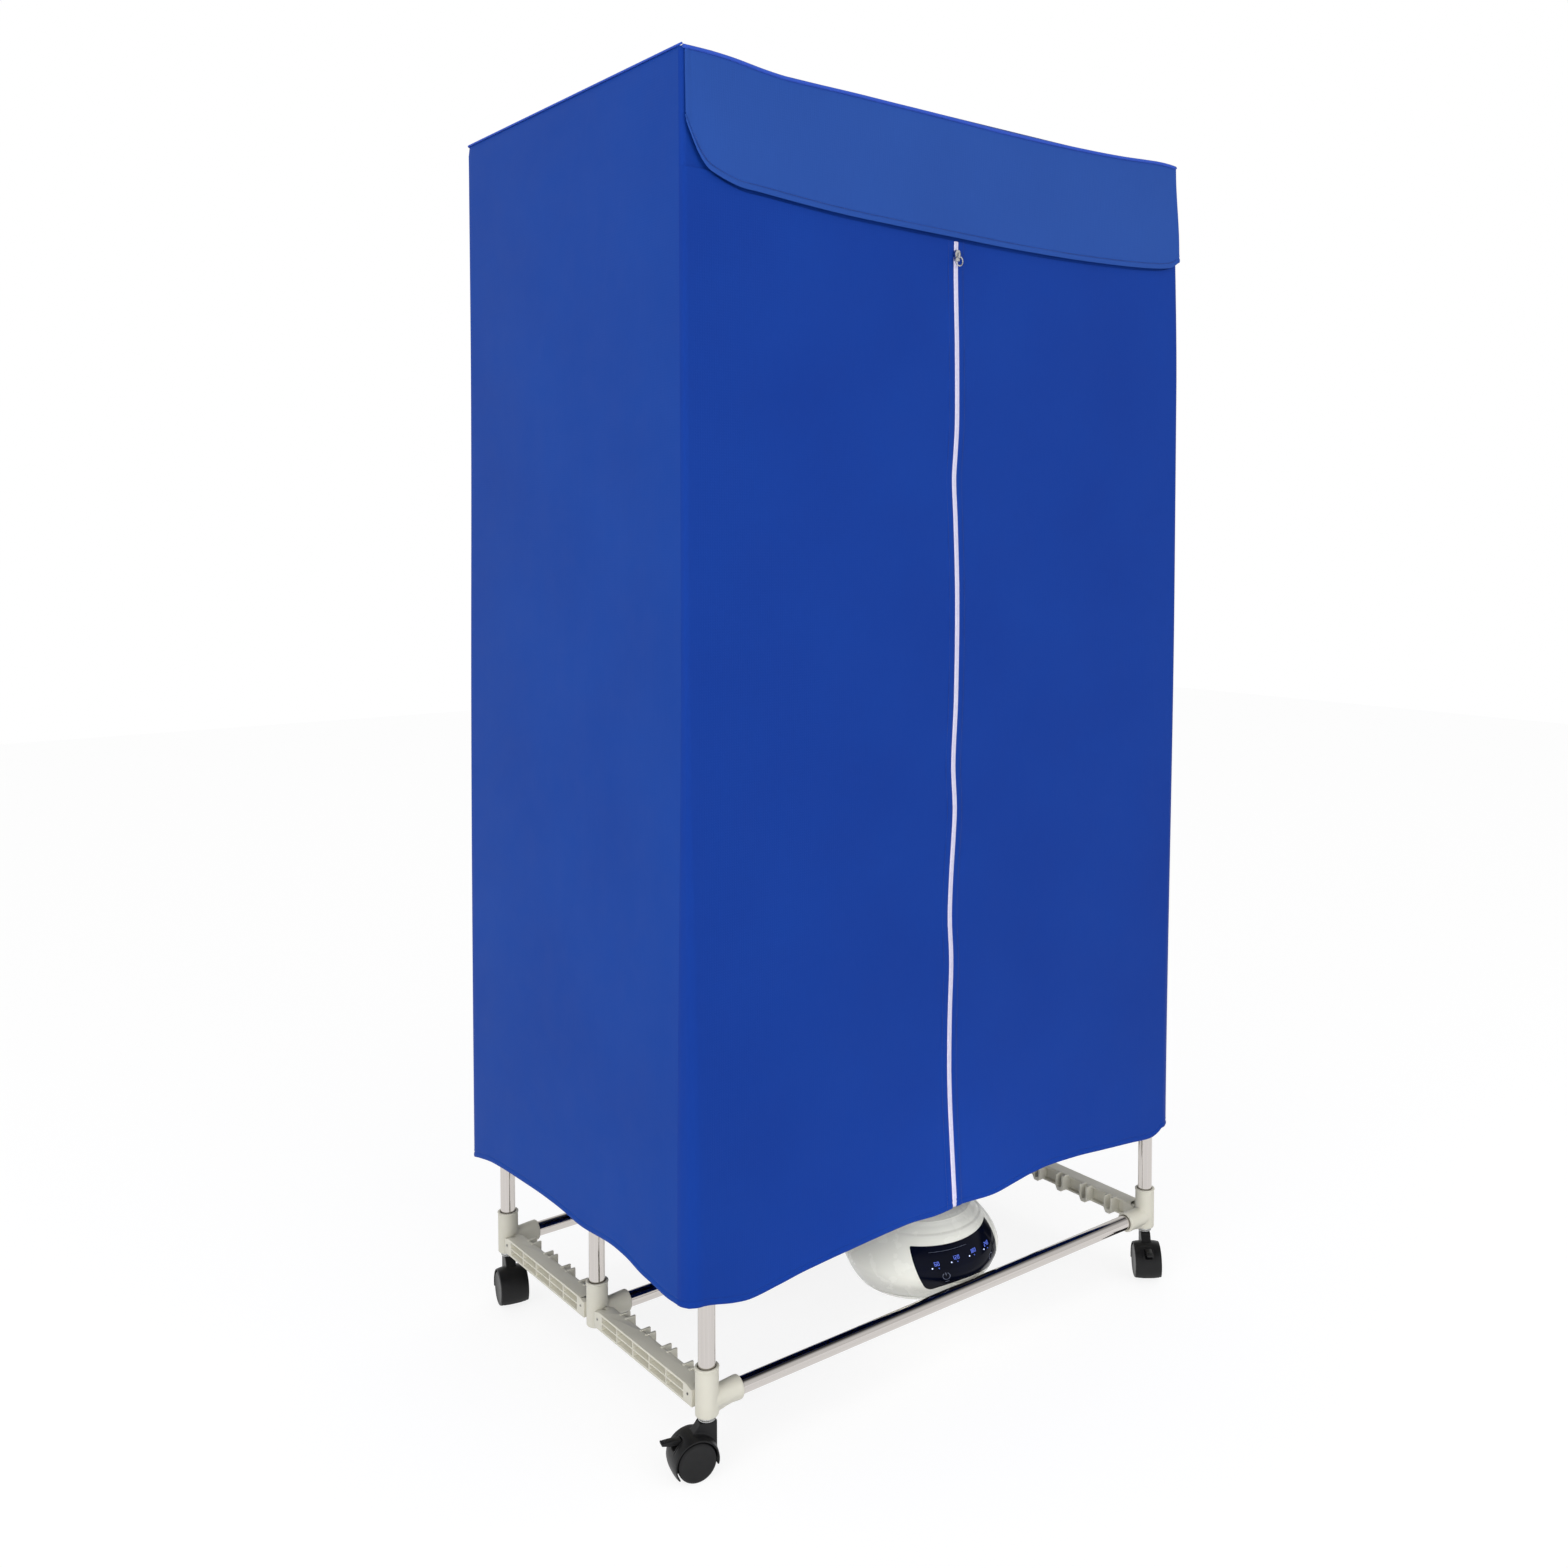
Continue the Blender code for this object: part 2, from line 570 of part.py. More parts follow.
def hood_mesh(name, with_slot):
    half = HOOD_WIDTH / 2
    body = extruded("hood", hood_outline(), -half, half, bevel=HOOD_BEVEL)
    x, z = WHEEL_TRAIL, WHEEL_RADIUS
    pocket = WHEEL_RADIUS + HOOD_GAP
    foot = stem_foot() - CLEARANCE
    cuts = [
        cylinder("axle_bore", (x, -half, z), (x, half, z), AXLE_RADIUS + CLEARANCE),
        cylinder("stem_bore", (0, 0, foot), (0, 0, CASTER_HEIGHT), STEM_RADIUS + CLEARANCE),
    ]
    for way in (-1, 1):
        inner, outer = way * (WEB_WIDTH / 2 - CLEARANCE), way * (half + OVERRUN)
        cuts.append(cylinder("pocket", (x, inner, z), (x, outer, z), pocket, sides=POCKET_SIDES))
    if with_slot:
        x, z = lever_pivot()
        slot = WEB_WIDTH / 2
        cuts.append(boxes("lever_slot", [(
            (x - LEVER_HUB_RADIUS - CLEARANCE, -slot, z - 2 * LEVER_HUB_RADIUS),
            (x + LEVER_LENGTH + OVERRUN, slot, z + LEVER_HUB_RADIUS + OVERRUN + HOOD_WALL),
        )]))
    return combined(name, body, [neck_mesh()], cuts)


def stem_foot():
    """The stem's lower end, just above the wheels' hood pockets."""
    pocket = WHEEL_RADIUS + HOOD_GAP
    pocket_top = WHEEL_RADIUS + pocket * cos(asin(WHEEL_TRAIL / pocket))
    return pocket_top + HOOD_WALL


def wheel_mesh():
    """Two wheels on their axle, turned in one piece about Y through the wheel centre."""
    inner = WEB_WIDTH / 2
    outer = inner + WHEEL_WIDTH
    rim = WHEEL_RADIUS - WHEEL_CHAMFER
    half = [
        (0, outer), (rim, outer), (WHEEL_RADIUS, outer - WHEEL_CHAMFER), (WHEEL_RADIUS, inner),
        (AXLE_RADIUS, inner),
    ]
    profile = half + [(radius, -along) for radius, along in reversed(half)]
    return turned("wheel_pair", profile, WHEEL_SIDES, axis="Y")


def lever_mesh():
    """A brake pedal on its hub, a wedge that points back, drawn from its own pivot along Y."""
    half = WEB_WIDTH / 2 - CLEARANCE
    thick, hub = LEVER_THICKNESS / 2, LEVER_HUB_RADIUS
    outline = arc((0, 0), hub, 90, 300, 6) + [
        (LEVER_LENGTH * LEVER_NECK_SHARE, -thick), (LEVER_LENGTH, LEVER_TIP - LEVER_THICKNESS),
        (LEVER_LENGTH, LEVER_TIP),
    ]
    return extruded("lever", outline, -half, half)


def build_casters(mats):
    wheels = wheel_mesh()
    wheels.transform(Matrix.Translation((WHEEL_TRAIL, 0, WHEEL_RADIUS)))
    collar_foot = CASTER_HEIGHT - COLLAR_HEIGHT + CLEARANCE
    collar_top = CASTER_HEIGHT - CLEARANCE
    stem_tip = CASTER_HEIGHT + STEM_DEPTH
    stem = turned("stem", [
        (0, stem_foot()), (STEM_RADIUS, stem_foot()), (STEM_RADIUS, collar_foot),
        (COLLAR_RADIUS, collar_foot), (COLLAR_RADIUS, collar_top), (STEM_RADIUS, collar_top),
        (STEM_RADIUS, stem_tip), (0, stem_tip),
    ], ROUND_SIDES)
    hoods = {True: hood_mesh("braked_hood", True), False: hood_mesh("plain_hood", False)}
    lever = lever_mesh()
    x, z = lever_pivot()
    lever.transform(Matrix.Translation((x, 0, z)))
    for corner, degrees in CASTER_TURNS.items():
        row, side = corner.split("_")
        place = (SIDES[side] * HALF_X, ROWS[row] * HALF_Y, 0)
        turn = radians(degrees)
        braked = row == "front"
        new_object(f"{corner}_caster_stem", stem, mats["zinc"], place, turn)
        new_object(f"{corner}_caster_hood", hoods[braked], mats["black"], place, turn)
        new_object(f"{corner}_caster_wheels", wheels, mats["black"], place, turn)
        if braked:
            new_object(f"{corner}_brake_lever", lever, mats["black"], place, turn)


def fold(along, rise_share, folds, phase):
    """How far hanging cloth stands out, from nothing at its top and ends to full at its hem."""
    ends = sin(pi * along) ** FOLD_END_POWER if 0 < along < 1 else 0.0
    wave = 0.5 - 0.5 * cos(2 * pi * folds * along + phase)
    return FOLD_DEPTH * ends * wave * (1 - rise_share) ** FOLD_RISE_POWER


def hem(along, waves, phase):
    """The hem's height, which rises and falls a little between the corners."""
    return HEM_HEIGHT + HEM_WAVE * sin(2 * pi * waves * along + phase) * sin(pi * along)


def flap_edge(x):
    """The flap's lower edge: level along the front, in a long curve up to its left end."""
    side = "left" if x < 0 else "right"
    run = FLAP_CORNER_RUNS[side]
    reach = (abs(x) - (COVER_X - run)) / run
    return OVERALL_HEIGHT - FLAP_DROP + FLAP_CORNER_RISES[side] * max(reach, 0.0) ** FLAP_CORNER_POWER


def cover_path(columns):
    """Plan points of the cover's left, back and right walls, with the outward direction at each."""
    front = -COVER_Y + CLOTH + CLEARANCE
    radius = COVER_CORNER_RADIUS
    points = []
    run = COVER_Y - radius - front
    for step in range(columns):
        points.append(((-COVER_X, front + run * step / columns), (-1, 0), "left", step / columns))
    for angle in (180, 157.5, 135, 112.5, 90):
        turn = radians(angle)
        centre = (-COVER_X + radius, COVER_Y - radius)
        out = (cos(turn), sin(turn))
        points.append(((centre[0] + radius * out[0], centre[1] + radius * out[1]), out, "corner", 0))
    across = 2 * (COVER_X - radius)
    wide = columns + columns // 2
    for step in range(1, wide):
        points.append(((-COVER_X + radius + across * step / wide, COVER_Y), (0, 1), "back", step / wide))
    mirrored_points = []
    for (x, y), (out_x, out_y), part, share in reversed(points[:columns + 5]):
        mirrored_points.append(((-x, y), (-out_x, out_y), part, share))
    return points + mirrored_points


def cover_mesh():
    """The cover's walls and top in one sheet, given its thickness inwards."""
    rows = WALL_ROW_COUNT
    bm = bmesh.new()
    grid = []
    for (x, y), (out_x, out_y), part, share in cover_path(WALL_COLUMNS):
        count, phase = WALL_FOLDS[part]
        low = hem(share, count / 2, phase)
        column = []
        for row in range(rows + 1):
            rise = row / rows
            stand = fold(share, rise, count, phase) if part != "corner" else 0.0
            height = low + (OVERALL_HEIGHT - low) * rise
            column.append(bm.verts.new((x + out_x * stand, y + out_y * stand, height)))
        grid.append(column)
    for first, second in zip(grid, grid[1:]):
        for row in range(rows):
            bm.faces.new((first[row], first[row + 1], second[row + 1], second[row]))
    bm.faces.new([column[-1] for column in grid])
    return mesh_from(bm, "cover")


def curtain_mesh(name, start, end, top, bottom, folds, rows=5, columns=18):
    """A hanging cloth panel between two x places, its face towards -Y, its thickness behind."""
    bm = bmesh.new()
    face, back = [], []
    for step in range(columns + 1):
        share = step / columns
        x = start + (end - start) * share
        high, low = top(x), bottom(share)
        front_column, back_column = [], []
        for row in range(rows + 1):
            rise = row / rows
            stand = fold(share, rise, folds, 0.0)
            height = low + (high - low) * rise
            front_column.append(bm.verts.new((x, -COVER_Y - stand, height)))
            back_column.append(bm.verts.new((x, -COVER_Y - stand + CLOTH, height)))
        face.append(front_column)
        back.append(back_column)
    for grid in (face, back):
        for first, second in zip(grid, grid[1:]):
            for row in range(rows):
                bm.faces.new((first[row], second[row], second[row + 1], first[row + 1]))
    for near, far in ((face[0], back[0]), (face[-1], back[-1])):
        for row in range(rows):
            bm.faces.new((near[row], near[row + 1], far[row + 1], far[row]))
    for row in (0, rows):
        for step in range(columns):
            bm.faces.new((face[step][row], face[step + 1][row], back[step + 1][row], back[step][row]))
    return mesh_from(bm, name)


def door_split():
    """Where the curtains part: just beyond the zip, which the left curtain carries."""
    return ZIP_OFFSET + max(ZIP_TAPE, SLIDER_WIDTH) / 2 + 2 * CLEARANCE


def build_cover(mats):
    cover = new_object("cover_shell", cover_mesh(), mats["cloth"])
    thickness = cover.modifiers.new("cloth", "SOLIDIFY")
    thickness.thickness = CLOTH
    thickness.offset = -1
    thickness.use_even_offset = True

    split = door_split()
    door_top = min(flap_edge(0), OVERALL_HEIGHT)

    def under_flap(x):
        return min(flap_edge(x), door_top + SEAM_GAP) - FLAP_GAP

    ends = {"left": (-COVER_X, split - CLEARANCE), "right": (split, COVER_X)}
    for side, phase in DOOR_HEM_PHASES.items():
        door = curtain_mesh(
            side + "_door", *ends[side], under_flap, lambda share: hem(share, 1.0, phase), DOOR_FOLDS,
        )
        new_object(side + "_door_curtain", door, mats["cloth"])
    under_top = OVERALL_HEIGHT - CLOTH - CLEARANCE

    def flap_low(share):
        return flap_edge(-COVER_X + 2 * COVER_X * share)

    new_object("front_flap", curtain_mesh(
        "flap", -COVER_X, COVER_X, lambda x: under_top, flap_low, FLAP_FOLDS, rows=3, columns=28,
    ), mats["cloth"])


def build_zip(mats):
    """The zip's slider at the head of its track, with its pull hanging from it."""
    top = flap_edge(0) - FLAP_GAP - SLIDER_WIDTH
    face = -COVER_Y - CLEARANCE
    half = SLIDER_WIDTH / 2
    shoulder = half * SLIDER_SHOULDER_SHARE
    waist = -SLIDER_LENGTH * SLIDER_WAIST_SHARE
    outline = [
        (-shoulder, 0), (-half, waist), (-shoulder, -SLIDER_LENGTH), (shoulder, -SLIDER_LENGTH),
        (half, waist), (shoulder, 0),
    ]
    body = extruded("slider", outline, -SLIDER_DEPTH, 0)
    bridge_top = (BRIDGE_HEIGHT - SLIDER_LENGTH) / 2
    front = -SLIDER_DEPTH - BRIDGE_REACH
    bridge = boxes("bridge", [(
        (-BRIDGE_WIDTH / 2, front, bridge_top - BRIDGE_HEIGHT),
        (BRIDGE_WIDTH / 2, -SLIDER_DEPTH / 2, bridge_top),
    )])
    wire = arc((RING_RADIUS, 0), RING_WIRE, 0, 360, RING_WIRE_SIDES)[:-1]
    ring = turned("ring", wire, RING_SIDES, axis="Y")
    ring_y = -SLIDER_DEPTH - BRIDGE_REACH / 2
    ring.transform(Matrix.Translation((0, ring_y, bridge_top - BRIDGE_HEIGHT + 2 * RING_WIRE - RING_RADIUS)))
    mesh = combined("zip_slider", body, [bridge, ring])
    new_object("zip_slider", mesh, mats["zinc"], (ZIP_OFFSET, face, top))


def heater_radius(share):
    """The heater's outside radius at a share of its height, eased between the profile's points."""
    points = HEATER_PROFILE_SHARES
    for (low, start), (high, end) in zip(points, points[1:]):
        if share <= high:
            part = (share - low) / (high - low)
            return HEATER_RADIUS * (start + (end - start) * part)
    return 0.0


def heater_height(share):
    return HEATER_BOTTOM + HEATER_HEIGHT * share


def share_at_radius(radius):
    """How far up the heater its outside has drawn in to a radius, looked for from the top."""
    points = HEATER_PROFILE_SHARES
    for (low, start), (high, end) in zip(reversed(points[:-1]), reversed(points)):
        if end * HEATER_RADIUS <= radius <= start * HEATER_RADIUS:
            return low + (high - low) * (start - radius / HEATER_RADIUS) / (start - end)
    return 1.0


def shell_profile(low, high, steps, inset=0.0):
    """Points (radius, height) up the heater's outside between two shares, moved in by inset."""
    points = []
    for step in range(steps + 1):
        share = low + (high - low) * step / steps
        points.append((max(heater_radius(share) - inset, 0.0), heater_height(share)))
    return points


def panel_mesh(name, inside, outside, margin):
    """The curved control panel: a patch of the heater's skin, between two depths, plus a margin."""
    columns, rows = 8, 4
    grow_share = margin / HEATER_HEIGHT
    bm = bmesh.new()
    grids = []
    for depth in (inside, outside):
        grid = []
        for column in range(columns + 1):
            across = 2 * column / columns - 1
            low = PANEL_BOTTOM_SHARE - PANEL_BOTTOM_DIP_SHARE * (1 - across ** 2)
            high = PANEL_TOP_SHARE - PANEL_TOP_DIP_SHARE * (1 - across ** 2)
            side = {0: -1, columns: 1}.get(column, 0)
            line = []
            for row in range(rows + 1):
                up = row / rows
                end = {0: -1, rows: 1}.get(row, 0)
                share = low + (high - low) * up + end * grow_share
                radius = heater_radius(share) + depth
                spread = PANEL_BOTTOM_ANGLE + (PANEL_TOP_ANGLE - PANEL_BOTTOM_ANGLE) * up
                angle = across * spread + side * margin / radius
                line.append(bm.verts.new((radius * sin(angle), -radius * cos(angle), heater_height(share))))
            grid.append(line)
        grids.append(grid)
    for grid in grids:
        for first, second in zip(grid, grid[1:]):
            for row in range(rows):
                bm.faces.new((first[row], second[row], second[row + 1]))
                bm.faces.new((first[row], second[row + 1], first[row + 1]))
    near, far = grids
    for column in (0, columns):
        for row in range(rows):
            bm.faces.new((near[column][row], near[column][row + 1], far[column][row + 1], far[column][row]))
    for row in (0, rows):
        for column in range(columns):
            bm.faces.new((near[column][row], near[column + 1][row], far[column + 1][row], far[column][row]))
    return mesh_from(bm, name)


def radial_slots(name, count, inner, outer, width, low, high):
    """A ring of straight slots pointing at the centre, as one cutter."""
    bm = bmesh.new()
    for place in range(count):
        turn = Matrix.Rotation(2 * pi * place / count, 4, "Z")
        size = Vector((outer - inner, width, high - low))
        centre = Matrix.Translation(((inner + outer) / 2, 0, (low + high) / 2))
        bmesh.ops.create_cube(bm, size=1, matrix=turn @ centre @ Matrix.Diagonal((*size, 1)))
    return mesh_from(bm, name)


def grille_slots(name, count, outer, low, high):
    """Parallel outlet slots across a round grille, each as long as the circle leaves it."""
    pitch = 2 * outer / (count + 1)
    corners = []
    for place in range(count):
        x = -outer + pitch * (place + 1)
        reach = (outer ** 2 - x ** 2) ** 0.5 - pitch / 4
        corners.append(((x - pitch / 4, -reach, low), (x + pitch / 4, reach, high)))
    return boxes(name, corners)


def build_heater(mats):
    place = (HEATER_X, HEATER_Y, 0)
    split = HEATER_SPLIT_SHARE
    pan_profile = [(0, HEATER_BOTTOM)] + shell_profile(0, split, 3)
    floor = HEATER_BOTTOM + HEATER_WALL
    pan_inside = shell_profile(HEATER_WALL / HEATER_HEIGHT, split, 2, HEATER_WALL)
    pan_profile += list(reversed(pan_inside)) + [(0, floor)]
    pan = turned("pan", pan_profile, HEATER_SIDES)
    boss_top = floor + HEATER_WALL
    boss = cylinder("boss", (0, 0, HEATER_BOTTOM), (0, 0, boss_top), MOTOR_RADIUS + HEATER_WALL)
    slots = radial_slots(
        "intake", INTAKE_SLOTS, MOTOR_RADIUS + 2 * HEATER_WALL, heater_radius(0) - HEATER_WALL,
        INTAKE_SLOT_WIDTH, HEATER_BOTTOM - OVERRUN, floor + OVERRUN,
    )
    new_object("heater_base_pan", combined("pan", pan, [boss], [slots]), mats["body"], place)

    cap_share = share_at_radius(CAP_RADIUS_SHARE * HEATER_RADIUS)
    seam_radius, seam_height = heater_radius(cap_share), heater_height(cap_share)
    low = split + CLEARANCE / HEATER_HEIGHT
    foot = heater_height(low)
    ledge = seam_radius - HEATER_WALL - CAP_LEDGE
    ledge_top = seam_height - HEATER_WALL
    rim = seam_radius - HEATER_WALL / 2
    outside = [(0, foot)] + shell_profile(low, cap_share, 8) + [(rim, ledge_top), (0, ledge_top)]
    shell = turned("shell", outside, HEATER_SIDES)
    highest = ledge_top - 2 * HEATER_WALL
    inside = [point for point in shell_profile(low, cap_share, 6, HEATER_WALL) if point[1] < highest]
    hollow = turned("hollow", [
        (0, foot - OVERRUN), (inside[0][0], foot - OVERRUN), *inside, (ledge, ledge_top - HEATER_WALL),
        (ledge, ledge_top + OVERRUN), (0, ledge_top + OVERRUN),
    ], HEATER_SIDES)
    mid_y, mid_z = -HEATER_Y, BASE_TUBE_Z
    front_y = -HALF_Y - HEATER_Y
    grip = TUBE_RADIUS + CLEARANCE
    saddle_back, saddle_top = front_y + TUBE_RADIUS + 2 * SADDLE_WALL, BASE_TUBE_Z + TUBE_RADIUS + SADDLE_WALL
    saddle = boxes("saddle", [(
        (-SADDLE_WIDTH / 2, front_y - SADDLE_WALL, BASE_TUBE_Z + TUBE_RADIUS / 2),
        (SADDLE_WIDTH / 2, saddle_back, saddle_top),
    )])
    hook_edge = (HOOK_SPACING + HOOK_WIDTH) / 2
    hook_root = ((heater_radius(HOOK_HEIGHT_SHARE) - 2 * HEATER_WALL) ** 2 - hook_edge ** 2) ** 0.5
    hooks = boxes("hooks", [(
        (way * HOOK_SPACING / 2 - HOOK_WIDTH / 2, hook_root, mid_z + TUBE_RADIUS / 2),
        (way * HOOK_SPACING / 2 + HOOK_WIDTH / 2, mid_y + grip + HOOK_WALL, mid_z + grip + HOOK_WALL),
    ) for way in (-1, 1)])
    tails = boxes("tails", [(
        (way * HOOK_SPACING / 2 - HOOK_WIDTH / 2, mid_y + grip - HOOK_WALL, mid_z - HOOK_WALL),
        (way * HOOK_SPACING / 2 + HOOK_WIDTH / 2, mid_y + grip + HOOK_WALL, mid_z + TUBE_RADIUS),
    ) for way in (-1, 1)])
    reach = 2 * HEATER_RADIUS
    tube_cuts = [
        cylinder("tube_cut", (-reach, y, mid_z), (reach, y, mid_z), grip) for y in (front_y, mid_y)
    ]
    gland_z = heater_height(GLAND_HEIGHT_SHARE)
    gland_y = heater_radius(GLAND_HEIGHT_SHARE)
    gland_tip = gland_y + GLAND_REACH
    gland_root = gland_y - 2 * HEATER_WALL
    gland_ends = [(0, y, gland_z) for y in (gland_root, gland_tip)]
    gland = cylinder("gland", *gland_ends, GLAND_RADIUS, GLAND_TIP_RADIUS)
    bore = cylinder(
        "bore", (0, gland_y - 4 * HEATER_WALL, gland_z), (0, gland_tip + OVERRUN, gland_z), GLAND_BORE,
    )
    recess = panel_mesh("recess", -PANEL_THICKNESS - CLEARANCE + PANEL_PROUD, OVERRUN, CLEARANCE)
    body = combined("heater_body", shell, [saddle, hooks, tails, gland], [*tube_cuts, hollow, recess, bore])
    new_object("heater_body", body, mats["body"], place)

    cap_outside = shell_profile(cap_share, 1.0, 4)
    cap_foot = ledge_top + CLEARANCE
    cap_rim = rim - CLEARANCE
    cap_outside[0] = (cap_rim, seam_height)
    cap_inside = [(radius, height - HEATER_WALL) for radius, height in shell_profile(cap_share, 1.0, 2)]
    cap_inside = [(min(radius, cap_rim - HEATER_WALL), height) for radius, height in cap_inside]
    cap_inside = [point for point in cap_inside if point[1] > cap_foot]
    cap_foot_rim = [(cap_rim - HEATER_WALL, cap_foot), (cap_rim, cap_foot)]
    cap_profile = cap_foot_rim + cap_outside + list(reversed(cap_inside))
    cap = turned("cap", cap_profile, HEATER_SIDES)
    grille = grille_slots("grille", OUTLET_SLOTS, OUTLET_RADIUS, cap_foot, HEATER_TOP + OVERRUN)
    new_object("heater_outlet_cap", combined("cap", cap, [], [grille]), mats["body"], place)

    panel = panel_mesh("panel", -PANEL_THICKNESS + PANEL_PROUD, PANEL_PROUD, 0.0)
    new_object("heater_control_panel", panel, mats["gloss"], place)
    build_heater_works(mats, place, boss_top)


def build_heater_works(mats, place, boss_top):
    """Motor on the pan's boss, fan on the motor's shaft, and the heating element above."""
    hub_low = heater_height(FAN_HEIGHT_SHARE)
    motor_top = hub_low - 2 * CLEARANCE
    motor_foot = boss_top + CLEARANCE
    shaft_top = hub_low + FAN_HUB_HEIGHT / 2
    motor = turned("motor", [
        (0, motor_foot), (MOTOR_RADIUS, motor_foot), (MOTOR_RADIUS, motor_top),
        (MOTOR_SHAFT_RADIUS, motor_top), (MOTOR_SHAFT_RADIUS, shaft_top), (0, shaft_top),
    ], ROUND_SIDES)
    new_object("fan_motor", motor, mats["zinc"], place)

    hub_top = hub_low + FAN_HUB_HEIGHT
    hub = cylinder("hub", (0, 0, hub_low), (0, 0, hub_top), FAN_HUB_RADIUS)
    blades = bmesh.new()
    size = Vector((FAN_RADIUS - FAN_HUB_RADIUS / 2, FAN_BLADE_CHORD, FAN_BLADE_THICKNESS))
    centre = Matrix.Translation(((FAN_RADIUS + FAN_HUB_RADIUS / 2) / 2, 0, (hub_low + hub_top) / 2))
    pitch = Matrix.Rotation(FAN_BLADE_PITCH, 4, "X")
    for blade in range(FAN_BLADES):
        turn = Matrix.Rotation(2 * pi * blade / FAN_BLADES, 4, "Z")
        bmesh.ops.create_cube(blades, size=1, matrix=turn @ centre @ pitch @ Matrix.Diagonal((*size, 1)))
    bore_top = shaft_top + CLEARANCE
    bore = MOTOR_SHAFT_RADIUS + CLEARANCE
    shaft = cylinder("shaft_bore", (0, 0, hub_low - OVERRUN), (0, 0, bore_top), bore)
    fan = combined("fan", hub, [mesh_from(blades, "blades")], [shaft])
    new_object("heater_fan", fan, mats["fan"], place)

    share = ELEMENT_HEIGHT_SHARE
    top = heater_height(share) + ELEMENT_THICKNESS / 2
    low = top - ELEMENT_THICKNESS
    top_share = (top - HEATER_BOTTOM) / HEATER_HEIGHT
    radius = heater_radius(top_share) - HEATER_WALL - ELEMENT_GAP
    disc = cylinder("disc", (0, 0, low), (0, 0, top), radius, sides=HEATER_SIDES)
    slots = grille_slots("slots", ELEMENT_SLOTS, radius - ELEMENT_RIM, low - OVERRUN, top + OVERRUN)
    new_object("heating_element", combined("element", disc, [], [slots]), mats["element"], place)


def build():
    clear_scene()
    mats = make_materials()
    build_frame(mats)
    build_rods(mats)
    build_casters(mats)
    build_cover(mats)
    build_zip(mats)
    build_heater(mats)


build()
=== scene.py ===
"""Looks of the portable clothes dryer: a zipped cloth cover on a wheeled tube frame, over a fan heater.

Metres, +Z up, on the frame's own places. The front, with its zip, faces -Y.
"""
from math import cos, exp, hypot, pi, radians, sin

import bmesh
import bpy
from mathutils import Matrix, Vector, noise


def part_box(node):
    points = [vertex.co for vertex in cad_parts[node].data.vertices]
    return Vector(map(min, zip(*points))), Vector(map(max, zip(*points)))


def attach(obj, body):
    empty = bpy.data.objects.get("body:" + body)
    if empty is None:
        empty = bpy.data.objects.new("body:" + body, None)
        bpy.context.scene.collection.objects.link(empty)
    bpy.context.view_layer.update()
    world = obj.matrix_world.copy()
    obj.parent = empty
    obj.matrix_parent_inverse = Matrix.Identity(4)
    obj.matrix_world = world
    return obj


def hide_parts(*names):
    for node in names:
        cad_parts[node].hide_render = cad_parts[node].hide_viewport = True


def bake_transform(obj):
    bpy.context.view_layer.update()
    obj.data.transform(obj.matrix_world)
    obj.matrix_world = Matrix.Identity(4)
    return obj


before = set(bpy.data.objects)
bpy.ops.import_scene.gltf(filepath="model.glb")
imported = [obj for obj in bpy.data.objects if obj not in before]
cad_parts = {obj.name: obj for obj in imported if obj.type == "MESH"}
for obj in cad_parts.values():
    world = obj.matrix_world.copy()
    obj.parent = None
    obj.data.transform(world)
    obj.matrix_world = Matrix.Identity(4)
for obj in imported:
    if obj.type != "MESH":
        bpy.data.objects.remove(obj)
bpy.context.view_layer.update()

MM = 0.001

# Camera: the photograph's standpoint
CAMERA_PLACE = (-1.1909, -1.5973, 0.9934)
CAMERA_YAW = radians(40.08)
CAMERA_PITCH = radians(-2.46)
CAMERA_ROLL = radians(0.13)
CAMERA_LENS = 34.586
CAMERA_SHIFT = (-0.0873, -0.1110)

# Studio
FLOOR_SIZE = 14.0
WORLD_STRENGTH = 0.62
MIRROR_STRENGTH = 0.80
FLOOR_GLOW = 1.17
FLOOR_GLOW_SHARE = 0.72
DARK_CARD_WAY = (0.985, -0.172, 0.0)
SOFTBOX_SIZE = 2.6
SOFTBOX_AIM = (0, 0, 0.7)
SOFTBOXES = {"left_softbox": ((-3.2, -1.3, 1.2), 47), "front_softbox": ((0.3, -3.6, 1.6), 38)}
LOW_FILL_PLACE = (-0.75, -1.95, 0.16)
LOW_FILL_AIM = (0.04, -0.2, 0.085)
LOW_FILL_POWER = 95
LOW_FILL_ANGLE = radians(13)
LOW_FILL_SIZE = 0.25

# Finish of meshes
SIDES_TURNED = 64
SMOOTH_ANGLE = radians(38)
CUT_OVERRUN = 3 * MM
MERGE_GAP = 0.01 * MM

# Tubes and connectors: sizes that the CAD boxes don't give by themselves
TUBE_WALL = 0.8 * MM
SLEEVE_RADIUS = 12.75 * MM
SLEEVE_LENGTH = 53.5 * MM
SOCKET_DEPTH = 25 * MM
SOCKET_GAP = 0.35 * MM
ARM_REACH = 40 * MM
ARM_RISE = 16 * MM
ARM_ROOT_RADIUS = 11.9 * MM
ARM_SWELL = 0.2 * MM
ARM_MOUTH_RADIUS = 13.1 * MM
ARM_MOUTH_LENGTH = 4 * MM
ARM_SOCKET_START = 13 * MM
MOUTH_RING = 0.7 * MM
MOUTH_RING_HEIGHT = 2.6 * MM
CONNECTOR_EDGE = 0.8 * MM
CONNECTOR_VOXEL = 0.85 * MM
WEB_RADIUS = 7 * MM
WEB_CROWN_GAP = 6 * MM
WEB_TOE_GAP = 5 * MM
TONGUE_REACH = 11 * MM
TONGUE_WIDTH = 6.6 * MM
TONGUE_HEIGHT = 10.6 * MM
STEM_HOLE_RADIUS = 4.4 * MM
